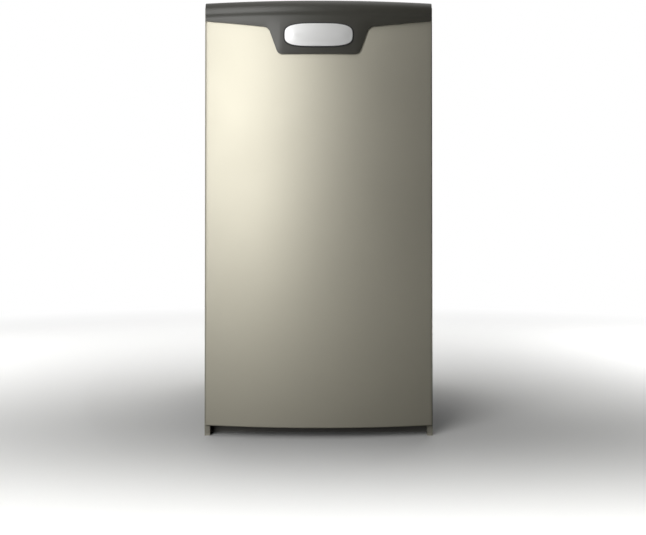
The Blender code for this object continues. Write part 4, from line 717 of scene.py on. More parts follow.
def fillet_points(corner: Flat, before: Flat, after: Flat, radius: float, steps: int = 8) -> list[Flat]:
    """Points of the arc that rounds a corner between two straight runs.

    Args:
        corner: the corner.
        before: the end of the run before it.
        after: the end of the run after it.
        radius: the arc's radius.
        steps: how many steps it takes.

    Returns:
        The points from the first run to the second.
    """
    middle = Vector(corner)
    first_way = (Vector(before) - middle).normalized()
    last_way = (Vector(after) - middle).normalized()
    half = first_way.angle(last_way) / 2
    centre = middle + (first_way + last_way).normalized() * (radius / math.sin(half))
    first = middle + first_way * (radius / math.tan(half)) - centre
    last = middle + last_way * (radius / math.tan(half)) - centre
    sweep = math.atan2(first.x * last.y - first.y * last.x, first.dot(last))
    points = []
    for i in range(steps + 1):
        turn = sweep * i / steps
        cos, sin = math.cos(turn), math.sin(turn)
        points.append((centre.x + first.x * cos - first.y * sin, centre.y + first.x * sin + first.y * cos))
    return points


def turned_ring(name: str, centre: Flat, section: Sequence[Flat], steps: int) -> Work:
    """A ring about an upright axis.

    Args:
        name: its name.
        centre: the axis, as x and y.
        section: the closed section, as radii and heights.
        steps: how many steps it takes round.

    Returns:
        The ring.
    """
    x, y = centre
    ring = Work.line(name, [(x + radius, y, z) for radius, z in section], closed=True)
    return ring.turn((x, y, 0.0), Axis.Z, 360.0, steps)


# The door and its trim. In all that follows sizes are in metres: proud is how far something stands before a
# face, drop how far it lies below the top, and low and high are its lowest and highest edges or corners
@dataclass(frozen=True)
class Bow:
    """The door's bow: an arc across its width, about an upright line behind it."""

    centre_y: float = 0.62382
    radius: float = 0.98932
    half: float = 0.221

    def front(self, x: float, proud: float = 0.0) -> float:
        """Where the arc, or one proud of it, stands at x."""
        return self.centre_y - math.sqrt((self.radius + proud) ** 2 - x ** 2)

    @property
    def centre(self) -> Point:
        """A point on the line that the arc turns about."""
        return (0.0, self.centre_y, 0.0)


BOW = Bow()


@dataclass
class Door:
    """The bowed door, folded back at its edges, with its rear lip."""

    bottom: float = 0.021
    top: float = 0.834
    rear: float = -0.333
    bend: float = 0.0022
    lip: float = 0.014
    sheet: float = 0.001
    steps: int = 64

    def build(self) -> None:
        """Builds the skin, its folds and its lip."""
        half, low = BOW.half, self.bottom
        across = [half * (2 * i / self.steps - 1) for i in range(self.steps + 1)]
        front = [(x, BOW.front(x), low) for x in across[::-1]]
        plan = [(half, self.rear, low), *front, (-half, self.rear, low)]
        skin = Work.line("door_skin", plan, filled=True)
        skin.push((0.0, 0.0, self.top - low))
        folds_end = self.rear - 2 * self.sheet

        def on_front(middle: Vector, way: Vector) -> bool:
            """Whether an edge lies round the front."""
            flat = abs(way.y) < 0.5 and not low + TINY < middle.z < self.top - TINY
            return middle.y < folds_end and (flat or abs(way.z) > 0.9 and abs(middle.x) > half - TINY)

        def on_back(middle: Vector, normal: Vector) -> bool:
            """Whether a face looks backwards."""
            return normal.y > 0.9

        def inside_lip(middle: Vector, normal: Vector) -> bool:
            """Whether a face is the one that the lip leaves open."""
            high = low + self.lip < middle.z < self.top - self.lip
            return on_back(middle, normal) and high and abs(middle.x) < half - self.lip

        skin.round_edges(on_front, self.bend, 4)
        skin.inset(on_back, self.lip)
        skin.delete(inside_lip)
        skin.wall(self.sheet)
        skin.finish(CHAMPAGNE, "door", "door_panel")


@dataclass
class Header:
    """The dark moulding over the top of the door, with the tab for the badge.

    The section is turned by reach, in degrees, to each side about the bow's axis. Cutters that stand out by
    spare then trim it to the lower outline, whose three corners are given on the right, as x and z.
    """

    top: float = 0.846
    seat: float = 0.8343
    rear: float = -0.333
    gap: float = 0.0003
    roll: float = 0.005
    ridge_proud: float = 0.0055
    ridge_drop: float = 0.020
    crease_drop: float = 0.0325
    apron_proud: float = 0.003
    apron_drop: float = 0.1185
    wing_end: Flat = (0.221, 0.810)
    wing_root: Flat = (0.0975, 0.7945)
    root_fillet: float = 0.016
    tab_corner: Flat = (0.0785, 0.7415)
    tab_fillet: float = 0.012
    edge: float = 0.0009
    reach: float = 14.0
    steps: int = 72
    spare: float = 0.03

    def section(self) -> list[Point]:
        """The section on the middle line, from its rear edge over the top, down the front and up the back.

        Returns:
            Its points.
        """
        face, low = BOW.front(0.0), self.top - self.apron_drop
        rolled, blended = 12, 8
        points = [(0.0, self.rear, self.seat), (0.0, self.rear, self.top)]
        for i in range(rolled + 1):
            turn = math.pi / 2 * i / rolled
            proud = (self.ridge_proud + self.roll) * math.sin(turn) - self.roll
            points.append((0.0, face - proud, self.top - self.ridge_drop * (1 - math.cos(turn))))
        for i in range(1, blended + 1):
            share = i / blended
            left = (1 + math.cos(math.pi * share)) / 2
            proud = self.apron_proud + (self.ridge_proud - self.apron_proud) * left
            drop = self.ridge_drop + (self.crease_drop - self.ridge_drop) * share
            points.append((0.0, face - proud, self.top - drop))
        return points + [(0.0, face - self.apron_proud, low), (0.0, face - self.gap, low),
                         (0.0, face - self.gap, self.seat)]

    def lower_edge(self) -> list[Flat]:
        """The lower outline from left to right: a wing, the filleted tab and the other wing.

        Returns:
            Its points, as x and z.
        """
        middle = (0.0, self.tab_corner[1])
        right = [self.wing_end,
                 *fillet_points(self.wing_root, self.wing_end, self.tab_corner, self.root_fillet),
                 *fillet_points(self.tab_corner, self.wing_root, middle, self.tab_fillet)]
        return [(-x, z) for x, z in right] + right[::-1]

    def below(self) -> Work:
        """A cutter that takes away all under the lower outline.

        Returns:
            The cutter.
        """
        wide, front = BOW.half + self.spare, BOW.front(0.0) - self.spare
        floor = self.top - self.apron_drop - self.spare
        edge = self.lower_edge()
        slope = (edge[0][1] - edge[1][1]) / (edge[1][0] - edge[0][0])
        end = edge[0][1] + slope * self.spare
        outline = [(-wide, front, end), *[(x, front, z) for x, z in edge[1:-1]], (wide, front, end),
                   (wide, front, floor), (-wide, front, floor)]
        return Work.line("header_below", outline, filled=True).push((0.0, 4 * self.spare, 0.0))

    def build(self) -> None:
        """Builds the moulding and trims it to its outline."""
        trim = Work.line("header_moulding", self.section(), filled=True)
        trim.rotate(-self.reach, Axis.Z, BOW.centre)
        trim.turn(BOW.centre, Axis.Z, 2 * self.reach, self.steps)
        front, low = BOW.front(0.0) - self.spare, self.top - self.apron_drop - self.spare
        ends = [Work.box("header_end", (side * BOW.half, front, low),
                         (side * (BOW.half + 2 * self.spare), 0.0, self.top + self.spare)) for side in Side]
        trim.carve(*ends, self.below())
        trim.soften(self.edge, angle=40.0)
        trim.finish(HEADER_BROWN, "door", "header_trim", sharp=40.0)


@dataclass
class Badge:
    """The blank domed oval on the tab: a bright face inside a thin rim, in a black seat whose colour paints the
    shade of the gap round the badge.

    The steps are its outlines, as how far each is drawn in and how far it stands proud of the tab, which
    itself stands before the door by seat. Squareness is the power that makes the oval fuller than an ellipse.
    """

    width: float = 0.133
    height: float = 0.046
    middle: float = 0.778
    squareness: float = 3.4
    seat: float = 0.0033
    points: int = 96
    seat_steps: Sequence[Flat] = ((-0.0014, -0.0022), (-0.0014, 0.0004), (-0.0009, 0.0010), (-0.0002, 0.0010),
                                  (0.0008, 0.0002), (0.0030, 0.0002))
    face_steps: Sequence[Flat] = ((0.0011, 0.0000), (0.0011, 0.0014), (0.0014, 0.0020), (0.0020, 0.0023),
                                  (0.0027, 0.0021), (0.0032, 0.0019), (0.0060, 0.0024), (0.0110, 0.0030),
                                  (0.0165, 0.0035), (0.0205, 0.0036))

    def ring(self, drawn_in: float, proud: float) -> list[Point]:
        """One rounded outline on the bow.

        Args:
            drawn_in: how far it lies inside the badge's outline.
            proud: how far it stands off the tab.

        Returns:
            Its points.
        """
        places = []
        for k in range(self.points):
            turn = 2 * math.pi * k / self.points
            cos, sin = math.cos(turn), math.sin(turn)
            reach = (abs(cos) ** self.squareness + abs(sin) ** self.squareness) ** (-1 / self.squareness)
            x = (self.width / 2 - drawn_in) * cos * reach
            z = self.middle + (self.height / 2 - drawn_in) * sin * reach
            places.append((x, BOW.front(x, self.seat + proud), z))
        return places

    def plate(self, name: str, steps: Sequence[Flat]) -> Work:
        """A stack of outlines bridged into one domed plate.

        Args:
            name: its name.
            steps: how far each outline is drawn in and how far it stands proud.

        Returns:
            The closed plate.
        """
        rings = [Work.line(f"{name}_{i}", self.ring(*step), closed=True) for i, step in enumerate(steps)]
        made = rings[0].join(*rings[1:])
        made.edit(partial(bpy.ops.mesh.select_mode, type="EDGE"), bpy.ops.mesh.bridge_edge_loops)
        made.edit(bpy.ops.mesh.select_non_manifold, bpy.ops.mesh.edge_face_add, *OUTWARDS, everything=False)
        return Work(made.obj, name)

    def build(self) -> None:
        """Builds the dark seat, then the face with its rim."""
        # The seat's black rubber colour is painted shade for the gap round the badge
        self.plate("badge_seat", self.seat_steps).finish(HOSE_RUBBER, "door", name="badge_gasket", sharp=50.0)
        self.plate("badge_face", self.face_steps).finish(SILVER, "door", "badge", sharp=60.0)


# Soft linings
@dataclass
class DoorPad:
    """The fibre pad glued behind the door skin, with a window for the striker.

    It has rows swells between its glue lines, each a dimple deep, and fuller for a smaller fullness. Over the
    length of tuck its back comes down to end_share of its thickness at either end. Its window is given as x
    and z, and the window's cutter reaches from one y to another.
    """

    half: float = 0.1935
    low: float = 0.0485
    high: float = 0.8065
    gap: float = 0.0014
    thick: float = 0.0060
    edge: float = 0.0030
    end_inset: float = 0.0012
    end_share: float = 0.45
    tuck: float = 0.0120
    rows: int = 11
    row_steps: int = 8
    fullness: float = 0.35
    dimple: float = 0.0011
    corner: float = 0.0022
    steps: int = 44
    window: Flat = (0.110, 0.387)
    window_half: Flat = (0.018, 0.015)
    window_reach: Flat = (-0.40, -0.30)

    def section(self) -> list[Point]:
        """The section: flat against the skin, crowned between its glue lines, tucked in at the ends.

        Returns:
            Its points.
        """
        face, steps, tall = BOW.front(0.0) + self.gap, self.rows * self.row_steps, self.high - self.low
        near = [(0.0, face, self.low + self.edge), (0.0, face, self.high - self.edge)]
        far = []
        for i in range(steps + 1):
            share = i / steps
            z = self.high - self.end_inset - share * (tall - 2 * self.end_inset)
            rise = math.sqrt(min(1.0, min(share, 1 - share) * tall / self.tuck))
            full = self.thick * (self.end_share + (1 - self.end_share) * rise)
            crown = abs(math.sin(math.pi * share * self.rows)) ** self.fullness
            far.append((0.0, face + full - self.dimple * (1 - crown), z))
        return near + far

    def build(self) -> None:
        """Builds the pad and cuts its window."""
        reach = math.degrees(math.asin(self.half / BOW.radius))
        pad = Work.line("door_pad", self.section(), filled=True)
        pad.rotate(-reach, Axis.Z, BOW.centre)
        pad.turn(BOW.centre, Axis.Z, 2 * reach, self.steps)

        def at_corner(middle: Vector, way: Vector) -> bool:
            """Whether an edge lies behind the face at one of the pad's four corners."""
            return abs(middle.x) > self.half - NEAR and middle.y > BOW.front(self.half) + self.gap

        pad.round_edges(at_corner, self.corner)
        (x, z), (wide, tall), (front, back) = self.window, self.window_half, self.window_reach
        pad.carve(Work.box("door_pad_window", (x - wide, front, z - tall), (x + wide, back, z + tall)))
        pad.finish(FELT, "door", "door_insulation", sharp=50.0)


@dataclass
class LiningBoard:
    """A foil-faced glass-fibre board inside a side panel, crowned between its edges and its clips.

    Each rim is a step of the crown, as its width and rise, from the edges inwards, and the clips lie on the
    crown. Clip spots and corners are given as y and z.
    """

    side: Side
    outer: float = 0.2215
    inner: float = 0.2100
    low: Flat = (-0.1527, 0.3968)
    high: Flat = (0.3567, 0.8362)
    edge: float = 0.0035
    rims: Sequence[Flat] = ((0.018, 0.0011), (0.050, 0.0008))
    crown: float = 0.0021
    clip_spots: Sequence[Flat] = ((-0.02, 0.50), (-0.02, 0.73), (0.21, 0.50), (0.21, 0.73))
    clip_radius: float = 0.012
    clip_thick: float = 0.0006
    clip_edge: float = 0.0002

    def build(self) -> None:
        """Builds the board with its crowned face, then its clips."""
        word = self.side.word
        middle_z = (self.low[1] + self.high[1]) / 2
        board = Work.box(f"lining_board_{word}", (self.side * self.outer, *self.low),
                         (self.side * self.inner, *self.high))
        board.round_edges(lambda middle, way: True, self.edge)

        def on_face(middle: Vector, normal: Vector) -> bool:
            """Whether a face looks into the furnace."""
            return normal.x * self.side < -0.9

        def half_way_up(middle: Vector, normal: Vector) -> bool:
            """Whether a face is the field inside the first rim or one of that rim's upright sides."""
            return on_face(middle, normal) and abs(middle.z - middle_z) < NEAR

        for wanted, (width, rise) in zip((on_face, half_way_up), self.rims):
            board.inset(wanted, width, -rise)
        board.apply("SUBSURF", levels=2, render_levels=2)
        board.finish(FOIL, "cabinet", f"insulation_{word}", sharp=50.0)
        back = self.side * (self.inner - self.crown)
        front = back - self.side * self.clip_thick
        clips = [Work.rod(f"board_clip_{word}", (back, y, z), (front, y, z), self.clip_radius, 28)
                 .soften(self.clip_edge) for y, z in self.clip_spots]
        clips[0].join(*clips[1:]).finish(GALVANISED, "cabinet", name="clip_steel")


# The axes that several pieces share: those of the two pipes as x and y, the inducer's as x and z
VENT_AXIS = (-0.174, -0.2281)
INTAKE_AXIS = (0.084, -0.2048)
INDUCER_AXIS = (-0.100, 0.500)
INDUCER_FACE = -0.2511


# Fastenings
class Facing(Enum):
    """Which way screws face, as their turn about X from facing up, in degrees."""

    UP = 0.0
    FRONT = 90.0
    BACK = -90.0


def both_sides(spots: Iterable[Flat]) -> list[Flat]:
    """The spots' mirror images on the left, then the spots."""
    return [(side * x, other) for side in Side for x, other in spots]


@dataclass(frozen=True)
class ScrewRow:
    """Hex washer-head sheet-metal screws that face one way: one is modelled, the others are copies of it.

    The sheet lies at face, as z for screws that face up and otherwise as y, and each spot is x and the other
    coordinate. Flange and across are the radii of the washer and of the hexagon over its corners. The
    hexagon goes from foot to tall, and its dish is given as the width of its rim and its depth.
    """

    name: str
    face: float
    spots: Sequence[Flat]
    facing: Facing = Facing.FRONT
    size: float = 1.0
    flange: float = 0.0046
    flange_thick: float = 0.0010
    flange_edge: float = 0.00025
    flange_gap: float = 0.0001
    across: float = 0.0036
    foot: float = 0.0004
    tall: float = 0.0036
    across_edge: float = 0.00035
    dish: Flat = (0.0009, 0.0006)

    def head(self) -> Work:
        """One head at the origin, facing up.

        Returns:
            The head.
        """
        def looks_up(middle: Vector, normal: Vector) -> bool:
            """Whether a face looks up."""
            return normal.z > 0.9

        head = Work.rod(self.name, ORIGIN, (0.0, 0.0, self.flange_thick), self.flange)
        head.inset(looks_up, self.flange - self.across - self.flange_gap)
        head.soften(self.flange_edge)
        top = Work.rod(f"{self.name}_hex", (0.0, 0.0, self.foot), (0.0, 0.0, self.tall), self.across, 6)
        top.soften(self.across_edge)
        top.inset(looks_up, *self.dish)
        return head.join(top)

    def build(self) -> None:
        """Models a head, turns it the row's way and copies it to each spot."""
        first = self.head().resize(self.size)
        if self.facing is not Facing.UP:
            first.rotate(self.facing.value, Axis.X, ORIGIN)
        places = [(x, other, self.face) if self.facing is Facing.UP else (x, self.face, other)
                  for x, other in self.spots]
        others = [first.copy(f"{self.name}_{i}", place) for i, place in enumerate(places[1:], 1)]
        first.move(places[0])
        first.join(*others).finish(ZINC, "cabinet", name=f"{ZINC.slot}_screws", sharp=40.0)


SCROLL_RADIUS = 0.0725
SCROLL_SCREWS = 5
SCROLL_START = 18.0
SCROLL_TURNS = [math.radians(SCROLL_START + 360.0 * i / SCROLL_SCREWS) for i in range(SCROLL_SCREWS)]
SCROLL_SPOTS = [(INDUCER_AXIS[0] + SCROLL_RADIUS * math.cos(turn),
                 INDUCER_AXIS[1] + SCROLL_RADIUS * math.sin(turn)) for turn in SCROLL_TURNS]
BACK_SPOTS = [(0.2135, z) for z in (0.060, 0.240, 0.420, 0.600, 0.775)]
CAP_SPOTS = [(0.2165, y) for y in (-0.300, -0.185, -0.020, 0.145, 0.300)]
WALL_SPOTS = [(0.205, z) for z in (0.415, 0.560, 0.690, 0.815)]
BOX_SPOTS = [(x, z) for x in (0.030, 0.085, 0.133) for z in (0.437, 0.523)]
COVER_SPOTS = [(0.124, 0.704), (0.124, 0.807), (0.062, 0.702)]
SCREW_ROWS = (
    ScrewRow("back_panel_screws", 0.3725, both_sides(BACK_SPOTS) + both_sides([(0.10, 0.388)]), Facing.BACK),
    ScrewRow("top_cap_screws", 0.838, both_sides(CAP_SPOTS), Facing.UP, 0.85),
    ScrewRow("burner_cover_screws", -0.2561, both_sides(COVER_SPOTS), size=0.9),
    ScrewRow("vestibule_screws", -0.1545, both_sides(WALL_SPOTS)),
    ScrewRow("inducer_screws", INDUCER_FACE, SCROLL_SPOTS, size=0.8),
    ScrewRow("header_box_screws", -0.2048, BOX_SPOTS, size=0.8))


# The heat exchanger and the pipes, seen from above
@dataclass
class CoilPlate:
    """A folded end plate that holds the condensing coil's fins."""

    side: Side
    reach: float = 0.1962
    sheet: float = 0.0009
    low: Flat = (-0.1518, 0.4368)
    high: Flat = (0.3018, 0.5250)
    flange: float = 0.0100
    edge: float = 0.0004

    def build(self) -> None:
        """Builds the plate as a channel."""
        (y, low), (rear, high) = self.low, self.high
        x, turned = self.side * self.reach, self.side * (self.reach - self.flange)
        plate = Work.line(f"coil_plate_{self.side.word}",
                          [(turned, y, low), (x, y, low), (x, y, high), (turned, y, high)])
        plate.push((0.0, rear - y, 0.0))
        plate.wall(self.sheet, offset=0.0)
        plate.soften(self.edge)
        plate.finish(GALVANISED, "cabinet", name="coil_plate_steel")


@dataclass
class PlasticPipe:
    """A white plastic pipe stub that stands through the top in its collar."""

    name: str
    centre: Flat
    bottom: float
    node: str
    outer: float = 0.03015
    inner: float = 0.02615
    collar: float = 0.03415
    collar_low: float = 0.8383
    collar_high: float = 0.8523
    top: float = 0.864
    edge: float = 0.0009
    steps: int = 72

    def build(self) -> None:
        """Turns the pipe's section about its axis, then rounds its edges."""
        pipe = turned_ring(self.name, self.centre, (
            (self.inner, self.bottom), (self.outer, self.bottom), (self.outer, self.collar_low),
            (self.collar, self.collar_low), (self.collar, self.collar_high), (self.outer, self.collar_high),
            (self.outer, self.top), (self.inner, self.top)), self.steps)
        pipe.soften(self.edge, 3, angle=60.0)
        pipe.finish(WHITE_PIPE, "cabinet", self.node)


# The bays behind the door
@dataclass
class GasTrain:
    """The small parts on the gas valve: its ribbed solenoid cover and its two plugs.

    The cover and its first rib are given by their corners, plugs as x and z, and each of a plug's two parts
    as its name, the depths of its back and front before the valve's face, its radius and its sides.
    """

    front: float = -0.3131
    cover_low: Point = (0.1405, -0.3085, 0.7352)
    cover_high: Point = (0.1655, -0.2890, 0.7520)
    cover_edge: float = 0.0022
    rib_low: Point = (0.1430, -0.3097, 0.7370)
    rib_high: Point = (0.1445, -0.3080, 0.7490)
    rib_pitch: float = 0.0045
    ribs: int = 5
    small_edge: float = 0.0004
    plugs: Sequence[Flat] = ((0.1480, 0.6660), (0.1900, 0.6660))
    plug_parts: Sequence[tuple] = (("valve_plug", -0.0004, 0.0018, 0.0058, 32),
                                   ("valve_plug_hex", 0.0010, 0.0046, 0.0042, 6))

    def build(self) -> None:
        """Builds the valve's fittings."""
        cover = Work.box("valve_solenoid_cover", self.cover_low, self.cover_high)
        cover.soften(self.cover_edge, 3)
        first = Work.box("solenoid_rib", self.rib_low, self.rib_high).soften(self.small_edge)
        others = [first.copy(f"solenoid_rib_{i}", (self.rib_pitch * i, 0.0, 0.0))
                  for i in range(1, self.ribs)]
        cover.join(first, *others).finish(BLACK_PLASTIC, "cabinet")
        plugs = []
        for x, z in self.plugs:
            seat, key = [
                Work.rod(name, (x, self.front - near, z), (x, self.front - far, z), radius, sides)
                .soften(self.small_edge) for name, near, far, radius, sides in self.plug_parts]
            plugs.append(seat.join(key))
        plugs[0].join(*plugs[1:]).finish(CAST_ALLOY, "cabinet", name="plug_brass")


@dataclass
class BandClamp:
    """The steel band and worm screw that hold the vent pipe in the inducer's rubber neck.

    The worm and its housing are given across from the pipe's axis and in depth from the band's front, and
    the worm's dish as the width of its rim and its depth.
    """

    low: float = 0.5945
    wide: float = 0.0110
    radius: float = 0.0304
    sheet: float = 0.0010
    band_edge: float = 0.0003
    steps: int = 64
    housing_across: Flat = (-0.0090, 0.0050)
    housing_depth: Flat = (-0.0058, 0.0016)
    housing_spare: float = 0.0008
    housing_edge: float = 0.0016
    worm_across: Flat = (0.0030, 0.0125)
    worm_depth: float = -0.0026
    worm_radius: float = 0.0034
    worm_dish: Flat = (0.0010, 0.0007)

    def build(self) -> None:
        """Turns the band, then adds its worm housing and screw."""
        x, y = VENT_AXIS
        outer, high, middle = self.radius + self.sheet, self.low + self.wide, self.low + self.wide / 2
        front = y - outer
        band = turned_ring("vent_clamp", VENT_AXIS, (
            (self.radius, self.low), (outer, self.low), (outer, high), (self.radius, high)), self.steps)
        band.soften(self.band_edge, angle=60.0)
        (left, right), (near, far) = self.housing_across, self.housing_depth
        housing = Work.box("vent_clamp_housing", (x + left, front + near, self.low - self.housing_spare),
                           (x + right, front + far, high + self.housing_spare))
        housing.soften(self.housing_edge, 3)
        start, end = ((x + across, front + self.worm_depth, middle) for across in self.worm_across)
        worm = Work.rod("vent_clamp_worm", start, end, self.worm_radius, 6)
        worm.inset(lambda place, normal: normal.x > 0.9, *self.worm_dish)
        band.join(housing, worm.soften(self.band_edge)).finish(MOTOR_STEEL, "cabinet")


@dataclass
class InducerRibs:
    """The radial ribs moulded on the face of the inducer's scroll."""

    inner: float = 0.055
    outer: float = 0.080
    thick: float = 0.0022
    proud: float = 0.0022
    sunk: float = 0.0006
    edge: float = 0.0007
    count: int = 10

    def build(self) -> None:
        """Models one rib and turns copies of it about the rotor's axis."""
        x, z = INDUCER_AXIS
        half = self.thick / 2
        first = Work.box("inducer_rib", (x + self.inner, INDUCER_FACE - self.proud, z - half),
                         (x + self.outer, INDUCER_FACE + self.sunk, z + half))
        first.soften(self.edge)
        others = [first.copy(f"inducer_rib_{i}").rotate(360.0 * i / self.count, Axis.Y, (x, INDUCER_FACE, z))
                  for i in range(1, self.count)]
        first.join(*others).finish(BLACK_PLASTIC, "cabinet")


@dataclass
class PanelField:
    """The raised field stamped into the blower access panel, with its two long beads."""

    half: float = 0.150
    low: float = 0.085
    high: float = 0.325
    face: float = -0.3038
    proud: float = 0.0022
    sunk: float = 0.0004
    corner: float = 0.014
    edge: float = 0.0016
    beads: Flat = (0.165, 0.245)
    bead_half: float = 0.125
    bead_radius: float = 0.0042
    bead_edge: float = 0.0028

    def build(self) -> None:
        """Builds the field and its beads."""
        front = self.face - self.proud
        field = Work.box("access_panel_field", (-self.half, front, self.low),
                         (self.half, self.face + self.sunk, self.high))
        field.round_edges(lambda middle, way: abs(way.y) > 0.9, self.corner, 6)
        field.round_edges(lambda middle, way: middle.y < front + TINY and abs(way.y) < 0.1, self.edge)
        beads = [Work.rod("access_panel_bead", (-self.bead_half, front, z), (self.bead_half, front, z),
                          self.bead_radius).soften(self.bead_edge, 4) for z in self.beads]
        field.join(*beads).finish(GALVANISED, "cabinet", name="access_panel_steel")


# Studio
@dataclass(frozen=True)
class Lamp:
    """A soft rectangular lamp, out of the camera's sight.

    Its place is its centre, target the point that it faces, size its width and height, power in watts, and
    spread the angle of its beam, in degrees.
    """

    name: str
    place: Point
    target: Point
    size: Flat
    power: float
    spread: float = 180.0

    def build(self) -> None:
        """Adds the lamp."""
        data = bpy.data.lights.new(self.name, "AREA")
        data.shape = "RECTANGLE"
        data.size, data.size_y = self.size
        data.energy = self.power
        data.spread = math.radians(self.spread)
        lamp = bpy.data.objects.new(self.name, data)
        lamp.location = self.place
        lamp.rotation_euler = (Vector(self.target) - Vector(self.place)).to_track_quat("-Z", "Y").to_euler()
        lamp.visible_camera = False
        bpy.context.scene.collection.objects.link(lamp)


LAMPS = (
    Lamp("tall_softbox", (-1.02, -2.25, 1.15), (0.0, -0.35, 0.55), (1.3, 1.9), 36.0),
    Lamp("back_fill", (0.0, 2.0, 2.3), (0.0, 1.4, 0.0), (2.8, 1.8), 20.0, spread=70.0),
    Lamp("left_floor", (-1.7, 0.2, 2.4), (-1.7, 0.2, 0.0), (1.2, 2.0), 14.0, spread=60.0),
    Lamp("right_floor", (1.8, 0.5, 2.4), (1.8, 0.5, 0.0), (1.2, 2.0), 18.0, spread=50.0),
    Lamp("front_floor", (0.0, -1.45, 2.6), (0.0, -1.45, 0.0), (3.0, 0.7), 30.0, spread=40.0),
    Lamp("top_fill", (0.3, -0.4, 2.6), (0.0, 0.0, 0.4), (1.6, 1.6), 6.0),
    Lamp("right_fill", (2.4, -0.6, 1.2), (0.0, 0.0, 0.4), (1.2, 1.6), 1.5))


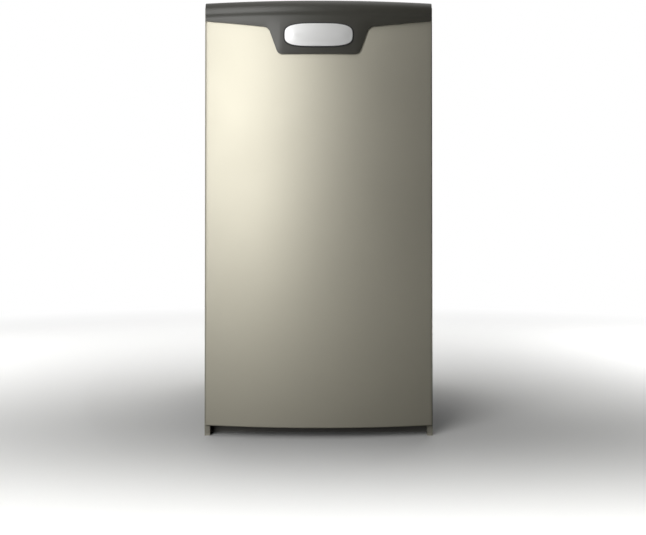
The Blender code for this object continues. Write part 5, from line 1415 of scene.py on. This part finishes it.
@dataclass
class Studio:
    """The camera, the pale floor, the dark cards that the door reflects, and the lamps.

    The camera stands in front of the cabinet's front edge by distance, at the height of eye, and looks up by
    tilt, in degrees. Its lens is in millimetres on a 36 mm sensor. The floor fades to white between two
    distances from the furnace. The standing card's arc is its bearings from the front, in degrees.
    """

    cabinet_front: float = -0.3325
    distance: float = 1.8
    eye: float = 0.416
    tilt: float = 0.70
    lens: float = 51.15
    shift: Flat = (0.0068, -0.0867)
    ambient: float = 0.04
    floor_size: float = 24.0
    floor_colour: Colour = (0.78, 0.78, 0.77)
    floor_roughness: float = 0.85
    floor_fade: Flat = (1.25, 2.5)
    card_arc: Flat = (-150.0, 150.0)
    card_radius: float = 3.1
    card_height: float = 4.0
    card_steps: int = 24
    card_colour: Colour = (0.03, 0.03, 0.03)
    card_roughness: float = 0.95
    floor_card_place: Point = (0.0, -1.3, 0.004)
    floor_card_size: Flat = (5.0, 3.6)
    floor_card_colour: Colour = (0.08, 0.08, 0.075)
    floor_card_fade: Flat = (0.5, 0.3)

    def place_camera(self) -> None:
        """Sets the camera where the photograph was taken from."""
        data = bpy.data.cameras.new("camera")
        data.lens = self.lens
        data.shift_x, data.shift_y = self.shift
        camera = bpy.data.objects.new("camera", data)
        camera.location = (0.0, self.cabinet_front - self.distance, self.eye)
        camera.rotation_euler = (math.radians(90.0 + self.tilt), 0.0, 0.0)
        bpy.context.scene.collection.objects.link(camera)
        bpy.context.scene.camera = camera

    def light_world(self) -> None:
        """Makes a white background for the camera and a dimmer even light for the object."""
        world = bpy.data.worlds.new("studio")
        bpy.context.scene.world = world
        world.use_nodes = True
        graph = Graph(world.node_tree)
        light = world.node_tree.nodes["Background"]
        strength = graph.node("MapRange", {"Value": graph.seen(), "To Min": self.ambient})
        graph.feed(light.inputs["Strength"], strength.outputs["Result"])
        graph.feed(light.inputs["Color"], WHITE)

    def stage(self, obj: bpy.types.Object, name: str, colour: Colour,
              roughness: float) -> tuple[Graph, bpy.types.Node]:
        """Makes an object part of the studio and gives it a matt material.

        Args:
            obj: the object.
            name: its name.
            colour: its colour.
            roughness: its roughness.

        Returns:
            The material's graph and its shader.
        """
        obj.name = name
        made, graph, shader = new_material(f"{name}_finish")
        graph.feed(shader.inputs["Base Color"], (*colour, 1.0))
        graph.feed(shader.inputs["Roughness"], roughness)
        obj.data.materials.append(made)
        return graph, shader

    def lay_floor(self) -> None:
        """Lays a large pale floor that keeps the furnace's shadow and fades into the white background."""
        bpy.ops.mesh.primitive_plane_add(size=self.floor_size, location=ORIGIN)
        graph, shader = self.stage(bpy.context.object, "studio_floor", self.floor_colour,
                                   self.floor_roughness)
        away = graph.node("VectorMath", {0: graph.place()}, operation="LENGTH").outputs["Value"]
        white = graph.node("Emission", {"Color": WHITE}).outputs["Emission"]
        share = graph.maths("MULTIPLY", graph.seen(), graph.eased(away, *self.floor_fade))
        mixed = graph.node("MixShader", {0: share, 1: shader.outputs["BSDF"], 2: white}).outputs["Shader"]
        graph.feed(graph.tree.nodes["Material Output"].inputs["Surface"], mixed)

    def stand_card(self) -> None:
        """Stands a dark curved card round the furnace, which shows only as a reflection."""
        start, end = self.card_arc
        shares = [i / self.card_steps for i in range(self.card_steps + 1)]
        bearings = [math.radians(start + (end - start) * share) for share in shares]
        line = [(self.card_radius * math.sin(a), -self.card_radius * math.cos(a), 0.0) for a in bearings]
        card = Work.line("front_card", line).push((0.0, 0.0, self.card_height)).obj
        self.stage(card, "front_card", self.card_colour, self.card_roughness)
        card.visible_camera = False

    def lay_card(self) -> None:
        """Lays a dark card in front, soft at its edges, which hides the bright floor from the door."""
        bpy.ops.mesh.primitive_plane_add(size=1.0, location=self.floor_card_place)
        card = bpy.context.object
        card.scale = (*self.floor_card_size, 1.0)
        graph, shader = self.stage(card, "floor_card", self.floor_card_colour, self.card_roughness)
        apart = graph.node("VectorMath", {0: graph.place()}, operation="ABSOLUTE").outputs["Vector"]
        parts = graph.node("SeparateXYZ", {"Vector": apart}).outputs
        outwards = graph.maths("MAXIMUM", parts["X"], parts["Y"])
        graph.feed(shader.inputs["Alpha"], graph.eased(outwards, *self.floor_card_fade))
        card.visible_camera = card.visible_shadow = False

    def build(self) -> None:
        """Sets up the camera, the background, the floor, the cards and the lamps."""
        bpy.context.scene.view_settings.view_transform = "Standard"
        self.place_camera()
        self.light_world()
        self.lay_floor()
        self.stand_card()
        self.lay_card()
        for lamp in LAMPS:
            lamp.build()
        log.info("studio: camera, floor, cards and %d lamps", len(LAMPS))


def main() -> None:
    """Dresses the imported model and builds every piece, in order."""
    logging.basicConfig(level=logging.INFO, format="%(message)s")
    Studio().build()
    dress_packed_nodes()
    log.info("packed nodes: %d dressed", len(frame["nodes"]))
    for piece in (Door(), Header(), Badge(), DoorPad(), *(LiningBoard(side) for side in Side),
                  *(CoilPlate(side) for side in Side),
                  PlasticPipe("vent_stub", VENT_AXIS, bottom=0.5873, node="vent_pipe"),
                  PlasticPipe("intake_stub", INTAKE_AXIS, bottom=0.8153, node="intake_pipe"),
                  BandClamp(), InducerRibs(), GasTrain(), PanelField(), *SCREW_ROWS):
        piece.build()


if __name__ == "__main__":
    main()
